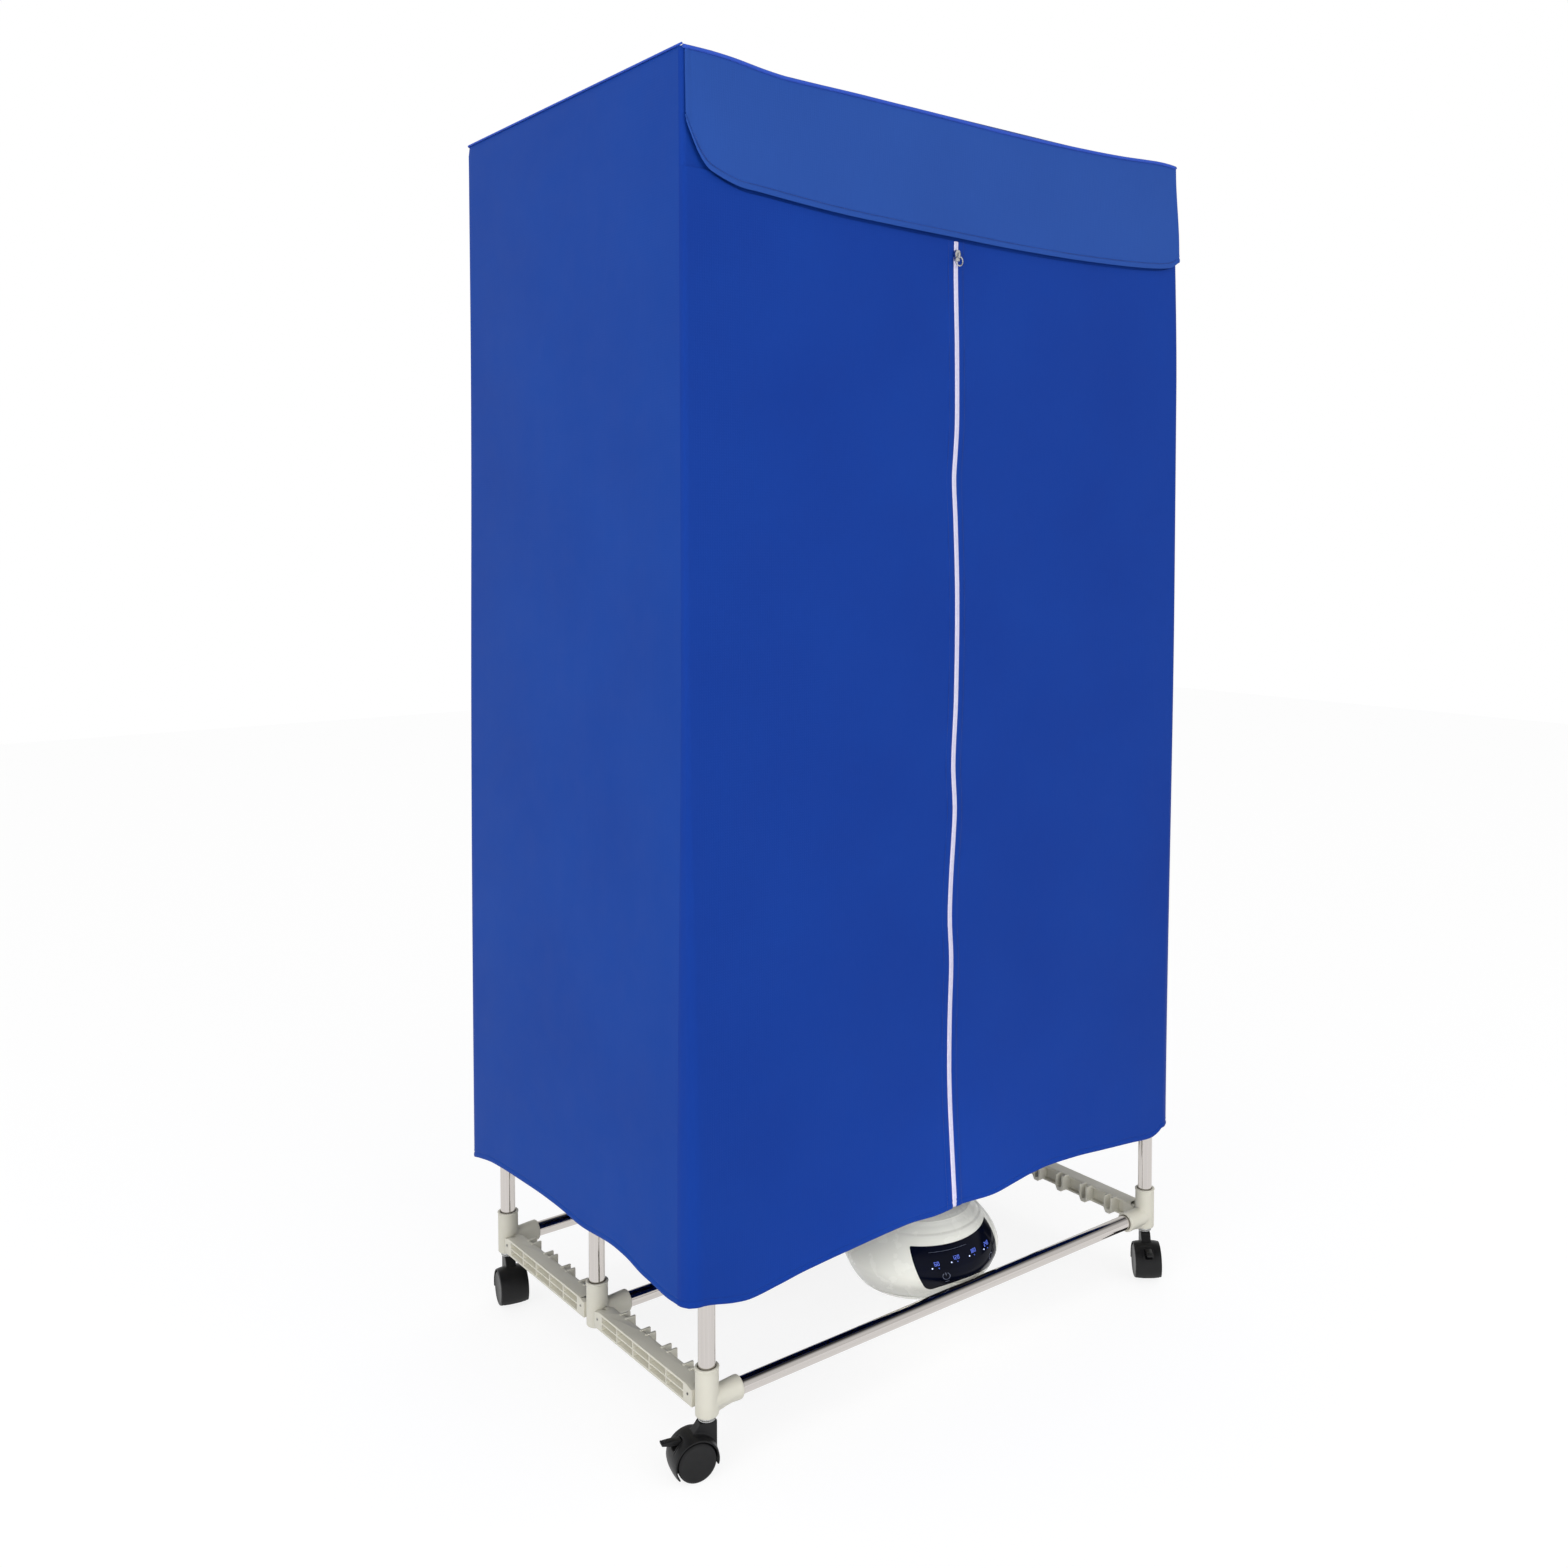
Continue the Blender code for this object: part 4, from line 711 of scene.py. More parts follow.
def cast(mesh, voxel, passes):
    """A moulding: the solid's edges and corners melted into small fillets."""
    work = new_object("work", mesh)
    remesh = work.modifiers.new("mould", "REMESH")
    remesh.mode = "VOXEL"
    remesh.voxel_size = voxel
    soften = work.modifiers.new("soften", "SMOOTH")
    soften.factor = 0.5
    soften.iterations = passes
    return finished_mesh(work)


def bevelled(mesh, width, segments=2, angle=30):
    work = new_object("work", mesh)
    bevel = work.modifiers.new("edges", "BEVEL")
    bevel.width = width
    bevel.segments = segments
    bevel.angle_limit = radians(angle)
    bevel.use_clamp_overlap = True
    return finished_mesh(work)


def placed(mesh, matrix):
    """A copy of a mesh at its place, with its faces still outwards after a mirror."""
    copy = mesh.copy()
    copy.transform(matrix)
    if matrix.determinant() < 0:
        copy.flip_normals()
    return copy


def piece(name, mesh, look, body, slot, *nodes):
    """A finished piece: its finish, the body it rides on, and the CAD nodes it stands for."""
    mesh.materials.clear()
    mesh.materials.append(look)
    obj = new_object(name, mesh)
    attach(obj, body)
    if nodes:
        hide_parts(*nodes)
    return obj


def middle(node):
    low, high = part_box(node)
    return (low + high) / 2


HALF_X = middle("front_right_post").x
HALF_Y = -middle("front_right_post").y
SIDES = {"left": -1, "right": 1}
ROWS = {"front": -1, "middle": 0, "back": 1}
BASE_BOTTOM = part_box("base_front_left_connector")[0].z
FRAME_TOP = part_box("top_front_left_connector")[1].z
TUBE_RADIUS = middle("front_right_post").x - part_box("front_right_post")[0].x
COVER_X = -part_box("left_door_curtain")[0].x
COVER_Y = -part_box("top_front_tube")[0].y + COVER_STAND
COVER_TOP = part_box("cover_shell")[1].z


# Tubes, connectors and rack bars

def build_tubes(upright, crosswise):
    for level in ("base", "top"):
        for row in ROWS:
            tube_along(f"{level}_{row}_tube", "X", crosswise)
    for row in ROWS:
        for side in SIDES:
            tube_along(f"{row}_{side}_post", "Z", upright)
    for row in ("front", "back"):
        tube_along(f"{row}_hanging_rod", "X", crosswise)


def tube_along(node, axis, look):
    """A round tube over a CAD tube, its ends broken by a small chamfer."""
    low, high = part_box(node)
    centre = (low + high) / 2
    way = "XYZ".index(axis)
    radius = (high.y - low.y) / 2
    half = (high[way] - low[way]) / 2
    chamfer = TUBE_WALL / 3
    inner = radius - TUBE_WALL
    profile = [
        (radius, -half + chamfer), (radius, half - chamfer), (radius - chamfer, half), (inner, half),
        (inner, -half), (radius - chamfer, -half),
    ]
    mesh = smoothed(moved(turned(node, profile, axis), *centre))
    piece(node + "_tube_skin", mesh, look, "root", "stainless_tube", node)


def connector_web():
    """The web in the corner under the arm: a hull from the sleeve's foot to the arm's end."""
    web = bmesh.new()
    turns = [k * pi / 8 for k in range(16)]
    foot = [(WEB_RADIUS * cos(turn), WEB_RADIUS * sin(turn), CONNECTOR_EDGE) for turn in turns]
    crown = [(x, way * WEB_RADIUS, ARM_RISE) for x in (0, ARM_REACH - WEB_CROWN_GAP) for way in (-1, 1)]
    toe_x, toe_z = ARM_REACH - WEB_TOE_GAP, ARM_RISE - ARM_ROOT_RADIUS
    toe = [(toe_x, way * WEB_RADIUS / 2, toe_z) for way in (-1, 1)]
    for point in foot + crown + toe:
        web.verts.new(point)
    hull = bmesh.ops.convex_hull(web, input=web.verts)
    inner = [item for item in hull["geom_interior"] if isinstance(item, bmesh.types.BMVert)]
    bmesh.ops.delete(web, geom=inner, context="VERTS")
    return mesh_from(web, "web")


def connector_form(tongue_ways, for_caster):
    """A moulded tee in its own frame: sleeve up +Z, arm along +X, tongues along Y."""
    edge, lip = CONNECTOR_EDGE, SLEEVE_RADIUS + MOUTH_RING
    lip_foot = SLEEVE_LENGTH - MOUTH_RING_HEIGHT
    sleeve = turned("sleeve", [
        (0, 0), (SLEEVE_RADIUS - edge, 0), (SLEEVE_RADIUS, edge), (SLEEVE_RADIUS, lip_foot),
        (lip, lip_foot + MOUTH_RING), (lip, SLEEVE_LENGTH - edge), (SLEEVE_RADIUS, SLEEVE_LENGTH),
        (0, SLEEVE_LENGTH),
    ])
    arm = turned("arm", [
        (0, 0), (ARM_ROOT_RADIUS, 0), (ARM_ROOT_RADIUS + ARM_SWELL, ARM_REACH / 2),
        (ARM_MOUTH_RADIUS, ARM_REACH - ARM_MOUTH_LENGTH), (ARM_MOUTH_RADIUS, ARM_REACH - edge),
        (ARM_MOUTH_RADIUS - edge, ARM_REACH), (0, ARM_REACH),
    ], "X")
    adds = [moved(arm, 0, 0, ARM_RISE), connector_web()]
    for way in tongue_ways:
        start, end = sorted((0, way * (SLEEVE_RADIUS + TONGUE_REACH)))
        adds.append(block(
            (-TONGUE_WIDTH / 2, start, ARM_RISE - TONGUE_HEIGHT / 2),
            (TONGUE_WIDTH / 2, end, ARM_RISE + TONGUE_HEIGHT / 2),
        ))
    socket = TUBE_RADIUS + SOCKET_GAP
    arm_socket = drilled(socket, ARM_SOCKET_START, ARM_REACH + CUT_OVERRUN, "X")
    cuts = [
        drilled(socket, SLEEVE_LENGTH - SOCKET_DEPTH, SLEEVE_LENGTH + CUT_OVERRUN),
        moved(arm_socket, 0, 0, ARM_RISE),
    ]
    if for_caster:
        cuts.append(drilled(STEM_HOLE_RADIUS, -CUT_OVERRUN, STEM_HOLE_DEPTH))
    return cast(carved(sleeve, adds, cuts), CONNECTOR_VOXEL, 3)


def build_connectors(look):
    forms = {
        ("base", True): connector_form((1,), True), ("top", True): connector_form((1,), False),
        ("any", False): connector_form((-1, 1), False),
    }
    for level, height, up in (("base", BASE_BOTTOM, 1), ("top", FRAME_TOP, -1)):
        for row, y_way in ROWS.items():
            for side, x_way in SIDES.items():
                form = forms[(level, True) if y_way else ("any", False)]
                node = f"{level}_{row}_{side}_connector"
                spin = Matrix.Diagonal((-x_way, -y_way or 1, up, 1))
                place = Matrix.Translation((x_way * HALF_X, y_way * HALF_Y, height)) @ spin
                piece(node + "_moulding", placed(form, place), look, "root", "cream_plastic", node)


def rounded_copy(node, width):
    """The CAD node's own shape, its flats merged and its edges rounded."""
    bm = bmesh.new()
    bm.from_mesh(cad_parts[node].data)
    bmesh.ops.remove_doubles(bm, verts=bm.verts, dist=MERGE_GAP)
    bmesh.ops.dissolve_limit(bm, angle_limit=radians(2), verts=bm.verts, edges=bm.edges)
    return bevelled(plain_mesh(bm, node), width)


def build_rack_bars(look, screw_look):
    screws = []
    for level in ("base", "top"):
        for side, x_way in SIDES.items():
            for row in ("front", "back"):
                node = f"{level}_{side}_{row}_rack_bar"
                piece(node + "_moulding", rounded_copy(node, BAR_EDGE), look, "root", "cream_plastic", node)
                low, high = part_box(node)
                face = low.x if x_way < 0 else high.x
                for y in (low.y + BAR_SCREW_INSET, high.y - BAR_SCREW_INSET):
                    screws.append((face, y, (low.z + high.z) / 2 + BAR_SCREW_RISE))
    screw_heads("rack_bar_screws", screws, screw_look)


def named_inputs(tree, sizes):
    """Named float inputs of a node tree, returned as name to socket identifier."""
    tree.interface.new_socket(name="Geometry", in_out="INPUT", socket_type="NodeSocketGeometry")
    identifiers = {}
    for name in sizes:
        socket = tree.interface.new_socket(name=name, in_out="INPUT", socket_type="NodeSocketFloat")
        identifiers[name] = socket.identifier
    tree.interface.new_socket(name="Geometry", in_out="OUTPUT", socket_type="NodeSocketGeometry")
    return identifiers


def grown(name, vertices, edges, tree, identifiers, sizes):
    """The plain mesh that a Geometry Nodes tree makes of some points or a path."""
    mesh = bpy.data.meshes.new(name)
    mesh.from_pydata(vertices, edges, [])
    work = new_object(name, mesh)
    grow = work.modifiers.new(name, "NODES")
    grow.node_group = tree
    for size, value in sizes.items():
        grow[identifiers[size]] = value
    return finished_mesh(work)


def screw_tree(look):
    """Pan-head screws with a cross recess, one on each point, their axes along X."""
    tree = bpy.data.node_groups.new("cross_head_screws", "GeometryNodeTree")
    identifiers = named_inputs(tree, ("Head radius", "Head height", "Recess length", "Recess width"))
    given = add_node(tree, "NodeGroupInput").outputs
    head = add_node(
        tree, "GeometryNodeMeshCylinder", {"Vertices": 32},
        {"Radius": given["Head radius"], "Depth": given["Head height"]},
    )
    arms = []
    for order in (("Recess length", "Recess width"), ("Recess width", "Recess length")):
        size = add_node(
            tree, "ShaderNodeCombineXYZ",
            links={"X": given[order[0]], "Y": given[order[1]], "Z": given["Head height"]},
        )
        bar = add_node(tree, "GeometryNodeMeshCube", links={"Size": size.outputs["Vector"]})
        arms.append(bar.outputs["Mesh"])
    both = add_node(tree, "GeometryNodeJoinGeometry")
    for arm in arms:
        tree.links.new(arm, both.inputs["Geometry"])
    lift = add_node(tree, "ShaderNodeCombineXYZ", links={"Z": given["Recess width"]})
    raised = add_node(
        tree, "GeometryNodeTransform",
        links={"Geometry": both.outputs["Geometry"], "Translation": lift.outputs["Vector"]},
    )
    cut = add_node(tree, "GeometryNodeMeshBoolean", operation="DIFFERENCE")
    tree.links.new(head.outputs["Mesh"], cut.inputs["Mesh 1"])
    tree.links.new(raised.outputs["Geometry"], cut.inputs["Mesh 2"])
    side = add_node(tree, "GeometryNodeInputPosition")
    axis = add_node(
        tree, "ShaderNodeVectorMath", {1: (1, 0, 0)}, {0: side.outputs["Position"]}, operation="MULTIPLY",
    )
    turn = add_node(
        tree, "FunctionNodeAlignRotationToVector", links={"Vector": axis.outputs["Vector"]}, axis="Z",
    )
    spread = add_node(tree, "GeometryNodeInstanceOnPoints", links={
        "Points": given["Geometry"], "Instance": cut.outputs["Mesh"], "Rotation": turn.outputs["Rotation"],
    })
    return closed_tree(tree, spread.outputs["Instances"], look), identifiers


def closed_tree(tree, instances, look):
    """Ends a tree in Realize Instances and Set Material."""
    real = add_node(tree, "GeometryNodeRealizeInstances", links={"Geometry": instances})
    solid = real.outputs["Geometry"]
    coat = add_node(tree, "GeometryNodeSetMaterial", {"Material": look}, {"Geometry": solid})
    add_node(tree, "NodeGroupOutput", links={"Geometry": coat.outputs["Geometry"]})
    return tree


def screw_heads(name, places, look):
    tree, identifiers = screw_tree(look)
    mesh = grown(name, places, [], tree, identifiers, SCREW_SIZES)
    piece(name, mesh, look, "root", "zinc_steel")


def bead_tree(look):
    """Small rounded beads in a row along a path: stitches, or the coils of a zip."""
    tree = bpy.data.node_groups.new("beads_along_" + look.name, "GeometryNodeTree")
    identifiers = named_inputs(tree, ("Pitch", "Length", "Width", "Height"))
    given = add_node(tree, "NodeGroupInput").outputs
    path = add_node(tree, "GeometryNodeMeshToCurve", links={"Mesh": given["Geometry"]})
    steps = add_node(
        tree, "GeometryNodeResampleCurve", links={"Curve": path.outputs["Curve"], "Length": given["Pitch"]},
        mode="LENGTH",
    )
    bead = add_node(tree, "GeometryNodeMeshUVSphere", {"Segments": 8, "Rings": 5, "Radius": 0.5})
    tangent = add_node(tree, "GeometryNodeInputTangent")
    turn = add_node(
        tree, "FunctionNodeAlignRotationToVector", links={"Vector": tangent.outputs["Tangent"]}, axis="X",
    )
    size = add_node(
        tree, "ShaderNodeCombineXYZ",
        links={"X": given["Length"], "Y": given["Width"], "Z": given["Height"]},
    )
    spread = add_node(
        tree, "GeometryNodeInstanceOnPoints",
        links={
            "Points": steps.outputs["Curve"], "Instance": bead.outputs["Mesh"],
            "Rotation": turn.outputs["Rotation"], "Scale": size.outputs["Vector"],
        },
    )
    return closed_tree(tree, spread.outputs["Instances"], look), identifiers


def bead_row(name, path, beads, sizes):
    """One row of beads along a path of points."""
    tree, identifiers = beads
    edges = [(k, k + 1) for k in range(len(path) - 1)]
    return grown(name, path, edges, tree, identifiers, sizes)


# Casters

def hood_form(braked):
    """The caster's hood in its own frame: a barrel over the wheels, a web between them and a neck."""
    half = HOOD_WIDTH / 2
    rise = HOOD_RADIUS - HOOD_FACE_RADIUS
    steps = [k / 8 for k in range(-8, 9)]
    rim = [(HOOD_FACE_RADIUS + rise * eased(HOOD_BULGE_SHARES, abs(step)), step * half) for step in steps]
    barrel = moved(turned("barrel", [(0, -half), *rim, (0, half)], "Y"), WHEEL_TRAIL, 0, WHEEL_RADIUS)
    neck_front = WHEEL_TRAIL - HOOD_RADIUS + NECK_INSET
    neck = extruded("neck", [
        (neck_front, WHEEL_RADIUS), (neck_front, NECK_TOP), (NECK_REACH, NECK_TOP), NECK_SHOULDER,
        (NECK_BACK, WHEEL_RADIUS + HOOD_RADIUS - NECK_SINK), (NECK_BACK, WHEEL_RADIUS),
    ], -NECK_WIDTH / 2, NECK_WIDTH / 2)
    far = 3 * HOOD_RADIUS
    heel, toe = [arc((WHEEL_TRAIL, WHEEL_RADIUS), far, angle, angle, 1)[0] for angle in HOOD_MOUTH_DEGREES]
    mouth = [(WHEEL_TRAIL, WHEEL_RADIUS - HOOD_MOUTH_DROP), heel, (far, -far), (-far, -far), toe]
    cuts = [extruded("mouth", mouth, -far, far)]
    for way in (-1, 1):
        start, end = sorted((way * (WEB_WIDTH / 2 - HOOD_POCKET_GAP), way * (half + CUT_OVERRUN)))
        cuts.append(moved(drilled(HOOD_POCKET, start, end, "Y"), WHEEL_TRAIL, 0, WHEEL_RADIUS))
    cuts.append(drilled(HOOD_BORE_RADIUS, HOOD_BORE_FLOOR, COLLAR_FOOT + CUT_OVERRUN))
    if braked:
        pivot_x, pivot_z = lever_pivot()
        pin = (pivot_x, 0, pivot_z)
        cuts.append(block(*[[p + size * MM for p, size in zip(pin, corner)] for corner in LEVER_OPENING_MM]))
        out, across, up = SLIT_PLACE_MM
        for way in (-1, 1):
            slit = block([-size * MM for size in SLIT_HALF_MM], [size * MM for size in SLIT_HALF_MM])
            place = Vector((WHEEL_TRAIL + out * MM, way * across * MM, WHEEL_RADIUS + up * MM))
            slit.transform(Matrix.Translation(place) @ Matrix.Rotation(SLIT_TURN, 4, "Y"))
            cuts.append(slit)
    return cast(carved(barrel, [neck], cuts), HOOD_VOXEL, 2)


def lever_pivot():
    """The brake pedal's pin, out on the hood's shoulder behind the stem."""
    out, up = LEVER_PIVOT_REACH * cos(LEVER_PIVOT_TURN), LEVER_PIVOT_REACH * sin(LEVER_PIVOT_TURN)
    return WHEEL_TRAIL + out, WHEEL_RADIUS + up


def wheel_form():
    """Two wheels on an axle: crowned treads, flat discs with a shallow moulded ring."""
    inner, outer = WEB_WIDTH / 2, WEB_WIDTH / 2 + WHEEL_WIDTH
    half = [(radius * MM, outer - depth * MM) for radius, depth in WHEEL_FACE_MM]
    half += [(radius * MM, inner + depth * MM) for radius, depth in WHEEL_BACK_MM]
    return turned("wheel_pair", half + [(radius, -along) for radius, along in reversed(half)], "Y", 96)


def stem_form():
    """The zinc-plated stem with its pressed collar, wider at the collar's foot."""
    foot, head, tip = COLLAR_FOOT + COLLAR_FOOT_GAP, BASE_BOTTOM - COLLAR_HEAD_GAP, BASE_BOTTOM + STEM_RISE
    collar = [(radius * MM, foot + rise * MM) for radius, rise in COLLAR_FOOT_MM]
    collar += [(radius * MM, head - drop * MM) for radius, drop in COLLAR_HEAD_MM]
    taper, taper_length = (size * MM for size in STEM_TIP_MM)
    return turned("stem", [
        (0, STEM_FOOT), (STEM_RADIUS, STEM_FOOT), (STEM_RADIUS, foot), *collar, (STEM_RADIUS, head),
        (STEM_RADIUS, tip - taper_length), (STEM_RADIUS - taper, tip), (0, tip),
    ])


def lever_form():
    """The brake pedal: a wedge on its hub, level on top, with gripping ribs near its tip."""
    x, z = lever_pivot()
    outline = arc((0, 0), LEVER_HUB, 90, 300, 12)
    outline.append((LEVER_BELLY_SHARE * LEVER_LENGTH, -LEVER_BELLY_DROP))
    outline += [(LEVER_LENGTH + out * MM, LEVER_TOP + up * MM) for out, up in LEVER_TIP_MM]
    for k in range(3):
        start = LEVER_LENGTH - LEVER_RIBS_START - k * LEVER_RIB_PITCH
        outline += [(start + out * MM, LEVER_TOP + up * MM) for out, up in LEVER_RIB_MM]
    mesh = extruded("lever", outline, -LEVER_WIDTH / 2, LEVER_WIDTH / 2)
    return moved(bevelled(mesh, LEVER_EDGE), x, 0, z)


def build_casters(nylon, zinc):
    hoods = {True: hood_form(True), False: hood_form(False)}
    wheels = smoothed(moved(wheel_form(), WHEEL_TRAIL, 0, WHEEL_RADIUS))
    stem, lever = bevelled(stem_form(), STEM_EDGE), lever_form()
    for corner, degrees in CASTER_TURNS.items():
        row, side = corner.split("_")
        stand = Matrix.Translation((SIDES[side] * HALF_X, ROWS[row] * HALF_Y, 0))
        place = stand @ Matrix.Rotation(radians(degrees), 4, "Z")
        braked = row == "front"
        body = corner + "_caster"
        hood, discs, pin = [placed(form, place) for form in (hoods[braked], wheels, stem)]
        piece(body + "_hood_shell", hood, nylon, body, "black_nylon", body + "_hood")
        piece(body + "_stem_pin", pin, zinc, body, "zinc_steel", body + "_stem")
        piece(body + "_wheel_discs", discs, nylon, corner + "_wheels", "black_nylon", body + "_wheels")
        if braked:
            pedal, brake = placed(lever, place), corner + "_brake"
            piece(brake + "_pedal", pedal, nylon, brake, "black_nylon", brake + "_lever")


# Cloth cover

def woven_sheet(name, columns, rows, place):
    """A sheet over a grid: place(column, row) gives its point and its flat (across, up) in metres."""
    bm = bmesh.new()
    uv = bm.loops.layers.uv.new("cloth")
    flats = {}
    grid = []
    for column in range(columns + 1):
        line = []
        for row in range(rows + 1):
            point, flat = place(column, row)
            vertex = bm.verts.new(point)
            flats[vertex] = flat
            line.append(vertex)
        grid.append(line)
    for first, second in zip(grid, grid[1:]):
        for row in range(rows):
            face = bm.faces.new((first[row], second[row], second[row + 1], first[row + 1]))
            for loop in face.loops:
                loop[uv].uv = flats[loop.vert]
    work = new_object(name, plain_mesh(bm, name))
    thicken = work.modifiers.new("cloth", "SOLIDIFY")
    thicken.thickness = CLOTH
    thicken.offset = -1
    return finished_mesh(work)


def heights(low, high, count, edge=True):
    """Heights up a sheet: close rows over the sewn edge, then even ones to the top."""
    start = [low + rise * MM for rise in EDGE_ROWS_MM] if edge else [low]
    step = (high - start[-1]) / count
    return start + [start[-1] + step * (k + 1) for k in range(count)]


def edge_form(row):
    """How far the sewn edge stands out at a row counted from the edge."""
    return EDGE_FORM_MM[row] * MM if row < len(EDGE_FORM_MM) else 0.0


def ripple(across, height, seed):
    """The hanging cloth's slow swells and shallow creases, in metres outwards."""
    rise = (height - HEM_LEVEL) / (COVER_TOP - HEM_LEVEL)
    full, loss = SWELL_MM
    (wide, tall), (close, steep), (fine, long) = SWELL_WAVES, CREASE_WAVES, FINE_CREASE_WAVES
    slanted = (across * close + height * CREASE_SLANT, height * steep - across, seed + 7)
    swells = noise.noise(Vector((across * wide, height * tall, seed))) * (full - loss * rise)
    creases = noise.noise(Vector(slanted)) * CREASE_MM
    fine_creases = noise.noise(Vector((across * fine, height * long, seed + 13))) * FINE_CREASE_MM
    return (swells + creases + fine_creases) * MM


def near(distance, reach):
    """0 at a seam, rising smoothly to 1 at a reach from it."""
    t = min(max(distance / reach, 0.0), 1.0)
    return t * t * (3 - 2 * t)


def bell(distance, width):
    """1 at a line, dying away at a width from it."""
    return exp(-(distance / width) ** 2)


def corner_radius(height):
    low, high = CORNER_RADII
    return low + (high - low) * near(height - HEM_LEVEL, CORNER_TAPER)


def hem_height(x, y):
    """The cover's lower edge at a place on its outline."""
    front = (x + COVER_X) / (2 * COVER_X)
    side = (y + COVER_Y) / (2 * COVER_Y)
    if y <= -COVER_Y + CORNER_RADII[0]:
        return HEM_LEVEL + HEM_SWING * eased(FRONT_HEM_SHARES, front)
    if x < 0 and side < 1:
        return HEM_LEVEL + HEM_SWING * eased(LEFT_HEM_SHARES, side)
    if x > 0 and side < 1:
        return HEM_LEVEL + HEM_SWING * 0.5 * sin(pi * side)
    wave = 0.45 * sin(pi * front) * sin(3 * pi * front)
    return HEM_LEVEL + HEM_SWING * (wave + LEFT_HEM_SHARES[-1][1] * (1 - near(front, 0.15)))


def wall_plan(part, share, radius):
    """A place on the walls' outline, the way out from it, and how far along its part it lies."""
    x, y = COVER_X, COVER_Y
    if part in ("right", "left"):
        way = 1 if part == "right" else -1
        start, end = sorted((-y + radius, y - radius))
        run = start + (end - start) * (share if way > 0 else 1 - share)
        return Vector((way * x, run, 0)), Vector((way, 0, 0)), share * 2 * COVER_Y
    if part == "back":
        return Vector(((x - radius) * (1 - 2 * share), y, 0)), Vector((0, 1, 0)), share * 2 * COVER_X
    turn = share * pi / 2 + (0 if part == "right_corner" else pi / 2)
    out = Vector((cos(turn), sin(turn), 0))
    centre = Vector(((x - radius) * (1 if part == "right_corner" else -1), y - radius, 0))
    return centre + out * radius, out, 0.0


def build_walls(cloth):
    """Right, back and left walls in one length, from the right front corner round to the left one."""
    parts = [("right", 60), ("right_corner", 8), ("back", 90), ("left_corner", 8), ("left", 60)]
    columns = [(part, k / count) for part, count in parts for k in range(count)] + [("left", 1.0)]
    deep, round_back = 2 * COVER_Y, 2 * (COVER_X + COVER_Y)
    across = {"right": 0.0, "right_corner": deep, "back": deep, "left_corner": round_back, "left": round_back}

    def place(column, row):
        part, share = columns[column]
        level_plan, _, _ = wall_plan(part, share, CORNER_RADII[0])
        top = COVER_TOP if part != "right" else side_edge(level_plan.y)
        height = heights(hem_height(level_plan.x, level_plan.y), top - WALL_TOP_GAP, WALL_ROWS)[row]
        point, out, run = wall_plan(part, share, corner_radius(height))
        flat = (across[part] + run, height)
        hold = near(1.0 - abs(2 * share - 1), 0.25) if "corner" not in part else 0.0
        hold *= near(COVER_TOP - height, WALL_CALM)
        stand = ripple(flat[0], height, WALL_SEED) * hold + edge_form(row)
        pull = WALL_PULL * (1 - near(COVER_TOP - height, WALL_PULL_REACH))
        lean = BACK_CORNER_LEAN * (1 - near(height - HEM_LEVEL, BACK_LEAN_HEIGHT))
        lean *= near(point.y + COVER_Y, 2 * COVER_Y)
        lean *= 1 - near(point.x + COVER_X, BACK_LEAN_REACH)
        lean += drawn_in(point.x, point.y, height)
        return point + out * (stand - pull) + Vector((-lean, 0, height)), flat

    mesh = woven_sheet("cover_walls", len(columns) - 1, len(EDGE_ROWS_MM) - 1 + WALL_ROWS, place)
    walls = piece("cover_walls", mesh, cloth, "root", "blue_cloth", "cover_shell")


def top_edge(x):
    """The front top edge: held up by the posts at its corners, and hanging lower between them."""
    return COVER_TOP - FRONT_DROOP * eased(FRONT_DROOP_SHARES, (x + COVER_X) / (2 * COVER_X))


def side_edge(y):
    """The right top edge, which climbs back to full height behind the front corner."""
    return COVER_TOP - (COVER_TOP - top_edge(COVER_X)) * (1 - near(y + COVER_Y, SIDE_CLIMB))


def drawn_in(x, y, height):
    """How far the right front corner of the cover is drawn in round its post, most at the top."""
    share = near(x - CORNER_DRAW_START, COVER_X - CORNER_DRAW_START)
    share *= 1 - near(y + COVER_Y, CORNER_DRAW_BACK)
    share *= 1 - near(COVER_TOP - height, CORNER_DRAW_HEIGHT)
    return CORNER_DRAW * share


def spaced(extent):
    """Places across a panel, close together near both of its edges."""
    start = [-extent + step * MM for step in TOP_EDGE_STEPS_MM]
    count = TOP_STEPS_BETWEEN
    between = [start[-1] - start[-1] * 2 * (k + 1) / (count + 1) for k in range(count)]
    return start + between + [-place for place in reversed(start)]


